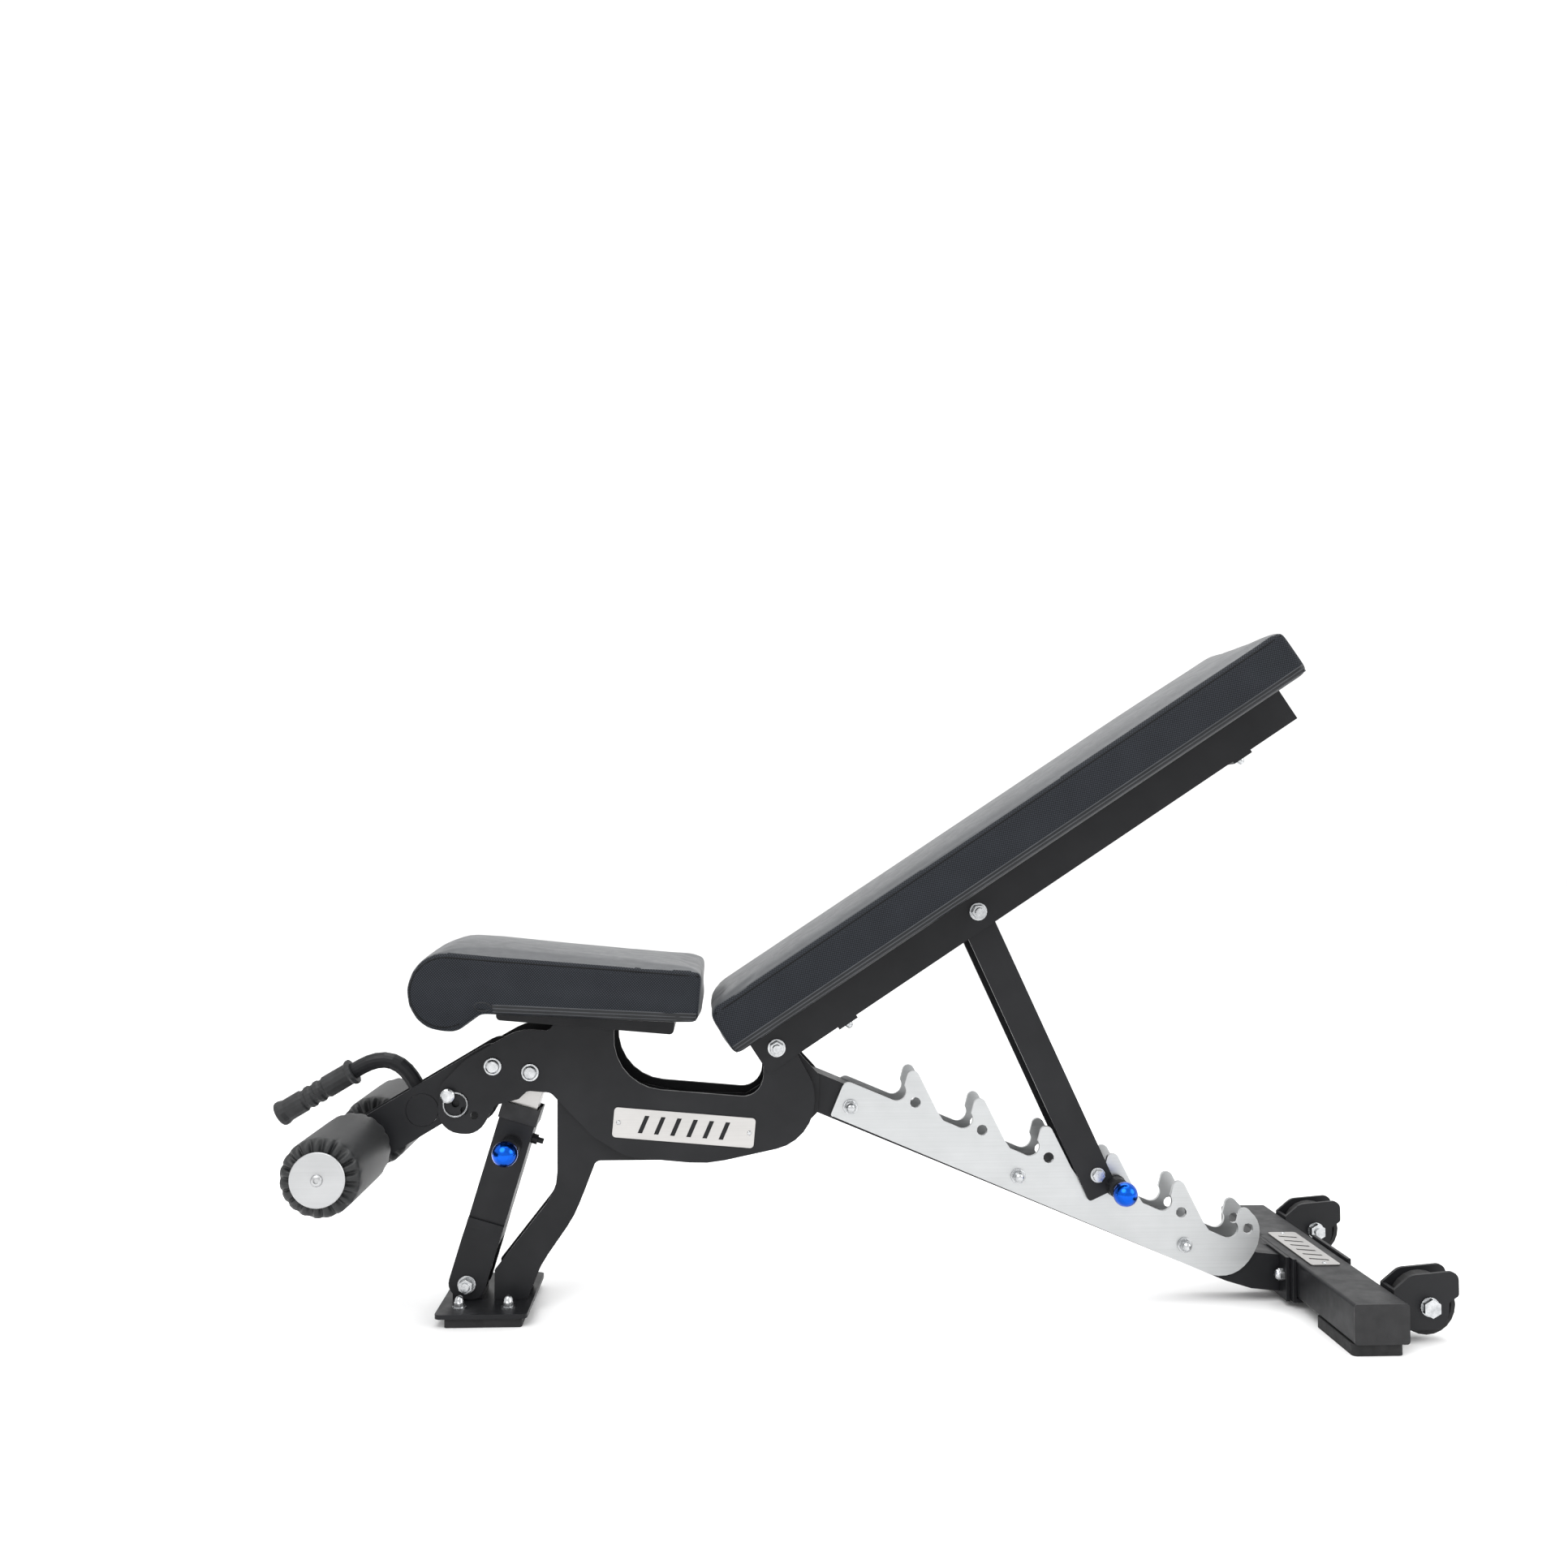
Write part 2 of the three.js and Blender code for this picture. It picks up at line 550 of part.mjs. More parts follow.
function cradle() {
  const { x, z, halfWidth } = CRADLE;
  const room = [BEAM.x[0] - GAP, BEAM.x[1] + GAP];
  return subtract(
    upright(outline(rectangle(x, z)), span(halfWidth)),
    box(room, span(halfWidth + PAST), [BEAM.z[0] - GAP, z[1] + PAST]),
    ...cradleBores(),
  );
}
piece(bench, "stabilizer_cradle", cradle(), POWDER_COAT);

for (const [side, sign] of SIDES) {
  const y = sign * CRADLE_BOLT.y;
  const face = FLANGE.x[0] - GAP;
  const nut = bar([0, 0], M10.hexRadius, [face - CRADLE_BOLT.nut + DOME.height, face], FACETS.hex);
  const bolt = union(
    nut.rotateZ(-Math.PI / 2).translate(0, y, CRADLE_BOLT.z),
    boltAlong(M10.radius, [face - OVERLAP, CRADLE.x[0] + CRADLE.wall - OVERLAP], y),
    dome(DOME).rotateZ(Math.PI / 2).translate(face - CRADLE_BOLT.nut + DOME.height, y, CRADLE_BOLT.z),
  );
  piece(bench, `cradle_bolt_${side}`, bolt, ZINC);
}

const beamInside = [
  [BEAM.x[0] + BEAM.wall, BEAM.x[1] - BEAM.wall],
  [BEAM.z[0] + BEAM.wall, BEAM.z[1] - BEAM.wall],
];
piece(
  bench, "stabilizer_tube",
  upright(outline(rectangle(BEAM.x, BEAM.z, BEAM.corner)), span(BEAM.halfLength), [
    outline(rectangle(...beamInside, BEAM.innerCorner)),
  ]),
  POWDER_COAT,
);
for (const [side, sign] of SIDES) {
  const plugRoom = beamInside.map(([low, high]) => [low + 2 * GAP, high - 2 * GAP]);
  const face = BEAM.halfLength + GAP;
  const { thickness, plug, plugCorner } = BEAM_CAP;
  piece(
    bench, `stabilizer_cap_${side}`,
    union(
      upright(outline(rectangle(BEAM.x, BEAM.z, BEAM.corner)), across(sign, [face, face + thickness])),
      upright(outline(rectangle(...plugRoom, plugCorner)), across(sign, [face - plug, face + OVERLAP])),
    ),
    PLASTIC,
  );
  const sole = rectangle(BEAM_FOOT.x, across(sign, BEAM_FOOT.y), BEAM_FOOT.corner);
  piece(bench, `stabilizer_foot_${side}`, slab(outline(sole), [0, BEAM_FOOT.height]), RUBBER);
}

// The outline of a slanted slot; u runs along the badge
function badgeSlots() {
  const { length, width, lean, spacing, count } = BADGE_SLOT;
  return Array.from({ length: count }, (_, i) => {
    const u = spacing * (i - (count - 1) / 2);
    const [w, h, l] = [width / 2, length / 2, lean / 2];
    return outline([[u - w - l, -h], [u + w - l, -h], [u + w + l, h], [u - w + l, h]]);
  });
}

function badge(length, height, thickness, corner) {
  const plate = slab(outline(rectangle(span(length / 2), span(height / 2), corner)), [0, thickness]);
  return subtract(plate, ...badgeSlots().map((slot) => slab(slot, [-PAST, thickness + PAST])));
}

const beamBadgeSize = [2 * BEAM_BADGE.halfLength, BEAM_BADGE.x[1] - BEAM_BADGE.x[0]];
piece(
  bench, "stabilizer_badge",
  badge(...beamBadgeSize, BEAM_BADGE.thickness, BEAM_BADGE.corner)
    .rotateZ(-Math.PI / 2)
    .translate((BEAM_BADGE.x[0] + BEAM_BADGE.x[1]) / 2, 0, BEAM.z[1] + GAP),
  BRUSHED_STEEL,
);

// Wheels

function wheelBracket(middle) {
  const { base, ear, halfWidth } = WHEEL_BRACKET;
  const back = BRACKET_OUTLINE[0];
  const height = [back[1], BRACKET_OUTLINE.at(-1)[1]];
  const room = [middle - halfWidth, middle + halfWidth];
  const points = outline(BRACKET_OUTLINE);
  return subtract(
    union(
      box([back[0], back[0] + base], room, height),
      upright(points, [room[0], room[0] + ear]),
      upright(points, [room[1] - ear, room[1]]),
    ),
    bar(WHEEL.axle, boltBore, [room[0] - PAST, room[1] + PAST]),
  );
}

// A wheel with a hub and a rim that stand proud of its recessed faces
function wheel() {
  const { hub, hubFoot, recess, recessEnd, rim, shoulder, round } = WHEEL_FACE;
  const w = WHEEL.width / 2;
  const half = [
    [M12.radius + CLEARANCE, w], [hub, w], [hubFoot, w - recess], [recessEnd, w - recess],
    [rim, w], [shoulder, w], [WHEEL.radius, w - round],
  ];
  const lower = half.map(([r, y]) => [r, -y]);
  return turned([...lower, ...half.toReversed(), lower[0]], ROUND);
}

for (const [side, sign] of SIDES) {
  const middle = sign * WHEEL.middle;
  piece(bench, `wheel_bracket_${side}`, wheelBracket(middle), POWDER_COAT);
  piece(bench, `wheel_${side}`, wheel().translate(0, middle, 0), RUBBER, WHEEL.axle);
  const reach = WHEEL_BRACKET.halfWidth + GAP;
  const bolt = throughBolt({ ...M12, hexRadius: WHEEL.nutRadius }, span(reach));
  piece(bench, `wheel_axle_${side}`, mirrored(bolt, sign).translate(0, middle, 0), ZINC, WHEEL.axle);
}

// Seat frame

const seat = frame(bench, MAIN_HINGE, SEAT_ANGLE);
// A point at the index radius from the arm pivot, at an angle below the forward direction
function indexPoint(degrees, [x, z] = [0, 0]) {
  return [x - INDEX.radius * Math.cos(rad(degrees)), z - INDEX.radius * Math.sin(rad(degrees))];
}
for (const [side, sign] of SIDES) {
  const holes = [
    ...[[0, 0], ARM_PIVOT, POST_TOP].map((at) => circlePoints(at, boltBore)),
    ...INDEX.angles.map((angle) => circlePoints(indexPoint(angle, ARM_PIVOT), INDEX.bore)),
  ];
  const plate = upright(outline(SIDE_OUTLINE), across(sign, SIDE_LAYER), holes);
  piece(seat, `side_plate_${side}`, plate, POWDER_COAT);
}
const trayInside = [SEAT_TRAY.x[0] + SEAT_TRAY.wall, SEAT_TRAY.x[1] - SEAT_TRAY.wall];
const trayHollow = [SEAT_TRAY.floor + SEAT_TRAY.wall, SEAT_TRAY.floor + SEAT_TRAY.deep];
piece(
  seat, "seat_bracket",
  subtract(
    upright(outline(SEAT_TRAY_OUTLINE), span(SEAT_TRAY.halfWidth)),
    box(trayInside, span(SEAT_TRAY.halfWidth - SEAT_TRAY.wall), trayHollow),
  ),
  POWDER_COAT,
);
const badgeSize = [SIDE_BADGE.x[1] - SIDE_BADGE.x[0], SIDE_BADGE.z[1] - SIDE_BADGE.z[0]];
piece(
  seat, "side_badge",
  badge(...badgeSize, SIDE_BADGE.thickness, SIDE_BADGE.corner)
    .rotateX(Math.PI / 2)
    .translate(0, -SIDE_LAYER[1] - GAP, 0),
  BRUSHED_STEEL,
  [(SIDE_BADGE.x[0] + SIDE_BADGE.x[1]) / 2, (SIDE_BADGE.z[0] + SIDE_BADGE.z[1]) / 2],
);
const sideFace = SIDE_LAYER[1] + GAP;
piece(seat, "arm_pivot_bolt", flangedBolt(sideFace, [span(ARM_LAYER[0] - GAP)]), ZINC, ARM_PIVOT);
const spacer = [INNER_POST.half + INNER_POST.topPlay, SIDE_LAYER[0] - GAP];
piece(
  seat, "post_top_bolt",
  flangedBolt(sideFace, SIDES.map(([, sign]) => across(sign, spacer))),
  ZINC, POST_TOP,
);

// Pads: an upright block with softened side edges and a top that swells towards the middle
function pad(corners, crown) {
  const { halfWidth, edge, edgeSteps, crownSteps } = PAD;
  const geometry = new THREE.ExtrudeGeometry(shapeOf(outline(corners)), {
    depth: 2 * (halfWidth - edge),
    steps: crownSteps,
    bevelSize: edge,
    bevelOffset: -edge,
    bevelThickness: edge,
    bevelSegments: edgeSteps,
  });
  geometry.rotateX(Math.PI / 2).translate(0, halfWidth - edge, 0);
  const position = geometry.attributes.position;
  for (let i = 0; i < position.count; i += 1) {
    const rise = THREE.MathUtils.smoothstep(position.getZ(i), crown.from, crown.to);
    const middle = 1 - (position.getY(i) / halfWidth) ** 2;
    const away = Math.abs(position.getX(i) - crown.peak);
    const fade = 1 - THREE.MathUtils.smoothstep(away, 0, crown.reach);
    position.setZ(i, position.getZ(i) + crown.height * rise * middle * fade);
  }
  return geometryOf(solidOf(geometry));
}
piece(seat, "seat_pad", pad(SEAT_OUTLINE, SEAT_CROWN), VINYL);

// Hitch pin that holds the arm, and its ring

const hitchAt = indexPoint(INDEX.angles[0], ARM_PIVOT);
function hitchPin() {
  const { shank, tip, neckEnd, head, headEnd, slope, chamfer, bore: hole, wireY } = HITCH;
  const pin = turned(
    [[0, tip], [shank, tip], [shank, neckEnd], [head, neckEnd + slope], [head, headEnd - chamfer[1]],
      [head - chamfer[0], headEnd], [0, headEnd]],
    FACETS.pin,
  ).rotateZ(Math.PI);
  const [x, z] = RING.toCentre;
  return subtract(pin, crossBore(hole, wireY, Math.atan2(z, x)));
}

// A hole through a pin, square to the direction given by its angle in the X-Z plane
function crossBore(radius, y, angle) {
  return new THREE.CylinderGeometry(radius, radius, HITCH.boreLength, FACETS.bore)
    .rotateX(Math.PI / 2)
    .rotateY(-angle)
    .translate(0, -y, 0);
}
piece(seat, "hitch_pin", hitchPin(), ZINC, hitchAt);
piece(
  seat, "hitch_ring",
  new THREE.TorusGeometry(RING.radius, RING.wire, ...FACETS.ring)
    .rotateX(Math.PI / 2)
    .translate(RING.toCentre[0], -HITCH.wireY, RING.toCentre[1]),
  ZINC, hitchAt,
);

// Front post

const post = frame(bench, POST_FOOT, POST_ANGLE);
function squareTube(half, wall, z) {
  const inner = half - wall;
  const through = [z[0] - PAST, z[1] + PAST];
  return subtract(box(span(half), span(half), z), box(span(inner), span(inner), through));
}
function clevis() {
  const { halfWidth, radius, top } = CLEVIS;
  const side = outline([
    [-halfWidth, -radius, radius], [halfWidth, -radius, radius], [halfWidth, top], [-halfWidth, top],
  ]);
  return subtract(
    intersect(along(outline(CLEVIS_PROFILE), span(halfWidth)), upright(side, span(2 * halfWidth))),
    bar([0, 0], boltBore, span(2 * halfWidth)),
  );
}
piece(post, "post_clevis", clevis(), POWDER_COAT);

function outerPost() {
  const { radius, reach, tipRadius, tipReach } = POST_BOSS;
  const foot = TUBE.half - OVERLAP;
  const rod = (r, end) => bar([0, 0], r, [foot, end]).rotateZ(-Math.PI / 2).translate(0, 0, POST_BOSS.z);
  return subtract(
    union(
      squareTube(TUBE.half, TUBE.wall, OUTER_POST.z),
      latchBarrel(POST_LATCH.at, foot),
      rod(radius, reach),
      rod(tipRadius, tipReach),
    ),
    bar(POST_LATCH.at, LATCH.bore, [-LATCH.housingEnd - PAST, 0]),
  );
}
piece(post, "post_outer_tube", outerPost(), POWDER_COAT);
piece(
  post, "post_collar",
  subtract(
    box(span(COLLAR.half), span(COLLAR.half), COLLAR.z),
    box(span(TUBE.half + GAP), span(TUBE.half + GAP), [COLLAR.z[0] - PAST, COLLAR.z[1] + PAST]),
  ),
  PLASTIC,
);
piece(
  post, "post_inner_tube",
  subtract(
    squareTube(INNER_POST.half, INNER_POST.wall, INNER_POST.z),
    bar([0, POST_LENGTH], INNER_POST.topBore, span(2 * INNER_POST.half)),
    ...INNER_POST.holes.map((z) => bar([POST_LATCH.at[0], z], LATCH.bore, [-2 * INNER_POST.half, 0])),
  ),
  BRUSHED_STEEL,
);
piece(post, "post_pin", plunger(POST_LATCH), ANODISED_BLUE, POST_LATCH.at);

// Leg roller arm

const arm = frame(seat, ARM_PIVOT, ARM_ANGLE);
const rollerAt = [-ARM.length, 0];
const armHitch = indexPoint(INDEX.angles[0] + ARM_ANGLE);
const armReach = [-ARM.length - ARM.radius, ARM.radius];
const armDepth = [ARM.drop - ARM.radius, ARM.drop + ARM.radius];
const armOutline = outline(rectangle(armReach, armDepth, ARM.radius - STRAIGHT));
for (const [side, sign] of SIDES) {
  const holes = [
    circlePoints([0, 0], boltBore),
    circlePoints(armHitch, INDEX.bore),
    circlePoints(CROSS_TUBE.at, CROSS_TUBE.radius + CLEARANCE),
    circlePoints(rollerAt, ROLLER.axle + CLEARANCE),
  ];
  piece(arm, `arm_plate_${side}`, upright(armOutline, across(sign, ARM_LAYER), holes), POWDER_COAT);
}

function handleBar() {
  const { radius, height, bend, end, steps } = HANDLE;
  const [x, z] = CROSS_TUBE.at;
  const at = (px, pz) => new THREE.Vector3(px, 0, pz);
  const path = new THREE.CurvePath();
  path.add(new THREE.LineCurve3(at(x, z), at(x, height - bend)));
  path.add(new THREE.QuadraticBezierCurve3(at(x, height - bend), at(x, height), at(x - bend, height)));
  path.add(new THREE.LineCurve3(at(x - bend, height), at(end, height)));
  const section = shapeOf(circlePoints([0, 0], radius));
  const tube = new THREE.ExtrudeGeometry(section, { steps, extrudePath: path });
  return union(tube, bar(CROSS_TUBE.at, CROSS_TUBE.radius, span(CROSS_TUBE.halfLength)));
}
piece(arm, "handle_bar", handleBar(), POWDER_COAT);
piece(
  arm, "handle_grip",
  geometryOf(solidOf(turned(GRIP_PROFILE, FACETS.grip).rotateZ(Math.PI / 2))),
  RUBBER, [0, HANDLE.height],
);
piece(
  arm, "roller_axle",
  union(
    bar([0, 0], ROLLER.axle, span(ROLLER.y[1])),
    ...SIDES.map(([, sign]) => bar([0, 0], ROLLER.collar, across(sign, ROLLER.collarY))),
  ),
  ZINC, rollerAt,
);

// A roller along +Y with a bore and rounded edges
function roller() {
  const { y, radius, edge, bore: hole } = ROLLER;
  const rounded = outline([[radius, y[0], edge], [radius, y[1], edge], [0, y[1]], [0, y[0]]]).slice(0, -2);
  const profile = [[hole, y[0]], ...rounded.map((p) => [p.x, p.y]), [hole, y[1]], [hole, y[0]]];
  return turned(profile, ROUND);
}

// The disc that closes a roller, with its screw
function rollerCap() {
  const { y, radius, screw, screwTop, screwEnd, chamfer } = ROLLER_CAP;
  return turned(
    [[0, y[0]], [radius, y[0]], [radius, y[1]], [screw, y[1]], [screw - chamfer, screwEnd - chamfer],
      [screwTop, screwEnd], [0, screwEnd]],
    ROUND,
  );
}
for (const [side, sign] of SIDES) {
  piece(arm, `roller_${side}`, mirrored(roller(), sign), FOAM_COVER, rollerAt);
  const cap = geometryOf(solidOf(mirrored(rollerCap(), sign)));
  piece(arm, `roller_cap_${side}`, cap, BRUSHED_STEEL, rollerAt);
}

// Backrest

const back = frame(bench, MAIN_HINGE, BACK_ANGLE);
function backChannel() {
  const { x, bottom, web, top, corner, straps, strap } = CHANNEL;
  const [inner, outer] = BACK_LAYER;
  const profile = outline([
    [-outer, bottom], [-outer, top, corner], [outer, top, corner], [outer, bottom],
    [inner, bottom], [inner, web], [-inner, web], [-inner, bottom],
  ]);
  const under = [bottom + OVERLAP - strap[1], bottom + OVERLAP];
  const bands = straps.map((at) => box([at - strap[0] / 2, at + strap[0] / 2], span(outer), under));
  return subtract(
    union(along(profile, x), ...bands),
    bar([0, 0], boltBore, span(outer + PAST)),
    bar(STRUT_TOP, boltBore, span(outer + PAST)),
  );
}
piece(back, "back_channel", backChannel(), POWDER_COAT);
piece(back, "back_pad", pad(BACK_PAD_OUTLINE, BACK_CROWN), VINYL);
piece(
  back, "strut_bolt",
  throughBolt(M12, span(BACK_LAYER[1] + GAP), SIDES.map(([, sign]) =>
    bar([0, 0], SLEEVE_RADIUS, across(sign, [STRUT_LAYER[1] + GAP, BACK_LAYER[0] - GAP])),
  )),
  ZINC, STRUT_TOP,
);

// Strut: from its pivot on the backrest down to the notch that holds it

const strutTopOnBench = outward(MAIN_HINGE, BACK_ANGLE, STRUT_TOP);
const notchOnBench = outward(RAIL_START, RAIL_ANGLE, [tipAt(STRUT_POCKET) + POCKET.back, POCKET.height]);
const strutRun = [strutTopOnBench[0] - notchOnBench[0], strutTopOnBench[1] - notchOnBench[1]];
const strutAngle = THREE.MathUtils.radToDeg(Math.atan2(strutRun[0], strutRun[1]));
const strut = frame(back, STRUT_TOP, strutAngle - BACK_ANGLE);
const strutFoot = [0, -Math.hypot(...strutRun)];
const lockOnBench = outward(RAIL_START, RAIL_ANGLE, lockHole(STRUT_POCKET));
const lockAt = inward(strutTopOnBench, strutAngle, lockOnBench);

function strutChannel() {
  const flange = outline(STRUT_OUTLINE);
  const { web, webZ, boss } = STRUT;
  return subtract(
    union(
      ...SIDES.map(([, sign]) => upright(flange, across(sign, STRUT_LAYER))),
      ...SIDES.map(([, sign]) => bar(lockAt, boss, across(sign, STRUT_LAYER))),
      box(web, span(STRUT_LAYER[1] - OVERLAP), webZ),
      latchBarrel(lockAt, STRUT_LAYER[1] - OVERLAP),
    ),
    bar([0, 0], boltBore, span(2 * STRUT_LAYER[1])),
    bar(strutFoot, boltBore, span(2 * STRUT_LAYER[1])),
    bar(lockAt, LATCH.bore, [-LATCH.housingEnd - PAST, 0]),
  );
}
piece(strut, "strut_channel", strutChannel(), POWDER_COAT);
piece(
  strut, "strut_pin",
  throughBolt(M10, span(STRUT_LAYER[1] + GAP), [bar([0, 0], STRUT.sleeve, span(STRUT_LAYER[0] - GAP))]),
  ZINC, strutFoot,
);
piece(strut, "lock_pin", plunger(STRUT_LATCH), ANODISED_BLUE, lockAt);

// The bench stands centred over the origin
bench.updateMatrixWorld(true);
const middle = new THREE.Box3().setFromObject(bench, true).getCenter(new THREE.Vector3());
bench.position.set(-middle.x, -middle.y, 0);

export default bench;
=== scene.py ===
"""The looks of the decline sit up bench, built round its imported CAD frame. Metres, +Z up, knobs at -Y."""

import json
import math
import random

import bmesh
import bpy
from mathutils import Matrix, Vector
from mathutils.bvhtree import BVHTree


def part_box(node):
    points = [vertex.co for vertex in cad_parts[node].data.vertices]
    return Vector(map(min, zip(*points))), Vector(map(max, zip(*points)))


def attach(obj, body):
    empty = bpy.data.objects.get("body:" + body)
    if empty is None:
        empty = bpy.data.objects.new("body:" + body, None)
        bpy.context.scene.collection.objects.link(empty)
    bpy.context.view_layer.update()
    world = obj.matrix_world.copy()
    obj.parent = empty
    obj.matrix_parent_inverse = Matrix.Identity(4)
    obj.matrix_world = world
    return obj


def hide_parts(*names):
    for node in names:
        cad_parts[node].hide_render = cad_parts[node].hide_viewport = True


MM = 0.001
TAU = 2 * math.pi

# Camera and stage
CAMERA_AT = (-0.15519, -2.01313, 0.64554)
CAMERA_YAW = 0.0393  # radians towards +X
CAMERA_LIFT = 0.0369  # radians upwards
SENSOR_WIDTH = 36.0
LENS = 32.896
CLIP_END = 100
STAGE_SIZE = 40.0
STAGE_GAP = 0.2 * MM

# Finish of the CAD nodes
WELD_WITHIN = 0.01 * MM
EDGE = {"width": 0.7 * MM, "segments": 2, "degrees": 35}

# Pads: the plane of each pad, as in the CAD model
MAIN_HINGE = (-88.165 * MM, 0, 358.5 * MM)
SEAT_TURN = math.radians(5)
BACK_TURN = math.radians(-33.5)
PAD_HALF_WIDTH = 130 * MM
CROWN_FOOT = 60 * MM
CROWN_TOP = 98 * MM
BACK_CROWN = {"height": 4.5 * MM, "end": -3 * MM, "from": 640 * MM, "to": 872 * MM}
PAD_VOXEL = 5 * MM
PAD_SHRINK = 1.0 * MM
PAD_SWELL = 3.5 * MM
EDGE_YIELD = 0.15  # how much of an edge's inward pull is kept
BASE_FACING = -0.7
PAD_FRAMES = 20
PAD_PRESSURE = 4.0
CLOTH_QUALITY = 4
SIDE_PANEL_FROM = 122 * MM
SIDE_FACING = 0.55
SIDE_ROUNDING = 14 * MM  # how far inside the panel a pad's rounded side may lie
PIPING_RADIUS = 1.0 * MM
TRIM_RADIUS = 0.9 * MM
TRIM_PITCH = 4.4 * MM
RAY_FROM = 0.2  # metres from the middle, clear of a pad's side
TRIM_LINES = 3
BACK_PAD_ENDS = (-48 * MM, 877 * MM)
BACK_SEAM = {"height": 92 * MM, "insets": (9 * MM, 7 * MM)}
BACK_BAND = 35 * MM
SEAM_INSET = 5 * MM
SEAT_REAR = -112 * MM
SEAT_BAND_FROM = -376 * MM
SEAT_BAND = {"rear_height": 33, "slope": 0.037}  # millimetres
SEAT_ROLL = {"at": (-440 * MM, 47 * MM), "radius": 45 * MM, "degrees": range(300, 84, -6)}
SEAT_TOP_SEAM = [(-400 * MM, 92 * MM), (-340 * MM, 92.5 * MM), (-113 * MM, 95 * MM)]
OVAL_SIDES = 24
SEAT_OVAL = {"at": (-389 * MM, 33 * MM), "half": (11 * MM, 5.5 * MM)}
STITCH = {"length": 3.2 * MM, "gap": 2.2 * MM, "radius": 0.35 * MM, "offset": 4.5 * MM}
STITCH_SIDES = 6
STITCH_SECTIONS = ((0, 0.5), (0.3, 1), (0.7, 1), (1, 0.5))  # (share of the length, share of the radius)

# Rollers
ROLLER_FOLDS = 19
ROLLER_TURNS = 228
ROLLER_RADIUS = 49.5 * MM
ROLLER_DISC = 33 * MM
CREASE_DEPTH = 6.5 * MM
SHOULDER_CREASE = 0.16
SHOULDER_FROM = 0.8  # share of the half length where the creases start
CREASE_POWER = 1.6
CREASE_PUSH = 0.8  # how far a crease draws in along the axis, as a share of its depth
FOLD_DRIFT = 0.12
FOLD_DEPTHS = (0.7, 1.0)
BARREL_STEPS = 16
CUFF_STEPS = 9
CUFF_LENGTH = 13 * MM
CUFF_REACH = 12.4 * MM
CUFF_RADIUS = ROLLER_DISC - 2 * MM
CUFF_ROUNDNESS = 0.8
CREASE_RISE = 1.5  # how soon along the cuff the creases reach their full depth
DISC_TURNS = 96
DISC_PROFILE = [  # (radius, height) in millimetres
    (0, 0), (32.5, 0), (34, 0.8), (34, 2.2), (33.2, 3), (9, 3),
    (7.5, 3.2), (7.2, 5.2), (6, 6.6), (3.2, 7.1), (3, 5.2), (0, 5.2),
]

# Knobs
POST_BALL = 17.2 * MM
LOCK_BALL = 16.5 * MM
BALL_FOOT = 0.82  # shares of the ball's radius
BALL_FOOT_RADIUS = 0.5
BALL_ARC = (-58, 90, 22)  # degrees from, degrees to, steps
NECK_RADIUS = 5.4 * MM
SKIRT = {"neck": 5 * MM, "top": (10.5 * MM, 3.4 * MM), "edge": (11.6 * MM, 1 * MM), "foot": (11 * MM, 0.84)}

# Fasteners that only the looks need
NUT_FLANGE = {"radius": 1.45, "height": 1.6 * MM}
NUT_BODY_FOOT = 1.7 * MM
NUT_DOME = [(1.05, 0.45), (0.92, 0.5), (0.85, 0.72), (0.62, 0.9), (0.3, 0.985)]  # shares of radius and height
SCREW_HEAD = [(1, 0), (0.9, 0.6), (0.6, 1), (0.35, 1), (0.3, 0.4)]
FASTENER_TURNS = 24
FOOT_NUT = {"insets": (28 * MM, 29 * MM), "side": 62 * MM}
REAR_BADGE_INSET = 7 * MM
SIDE_BADGE_SCREW = 89 * MM
PAD_BOLT = {
    "x": (100 * MM, 760 * MM), "side": 34 * MM, "under": -27.5 * MM, "radius": 5.4 * MM, "height": 9 * MM,
}

# Light
WORLD_STRENGTH = 1.1
FLOOR_WHITE = 0.93
LIGHT_AIM = Vector((0, 0, 0.35))
LIGHTS = [  # name, place, size, power
    ("key", (-1.6, -2.6, 3.4), 3.2, 95),
    ("top", (0.3, 0.6, 3.6), 3.6, 90),
    ("side", (3.2, -1.4, 1.8), 2.2, 35),
]

random.seed(7)
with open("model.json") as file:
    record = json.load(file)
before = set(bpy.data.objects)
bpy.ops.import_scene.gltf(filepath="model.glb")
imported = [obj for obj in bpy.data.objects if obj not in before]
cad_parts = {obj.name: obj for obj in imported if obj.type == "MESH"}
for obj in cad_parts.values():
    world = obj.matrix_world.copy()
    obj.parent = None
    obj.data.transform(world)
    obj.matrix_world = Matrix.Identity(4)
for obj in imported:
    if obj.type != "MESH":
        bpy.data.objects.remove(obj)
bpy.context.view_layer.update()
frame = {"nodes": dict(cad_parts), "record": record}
nodes = frame["nodes"]


# Node helpers for materials


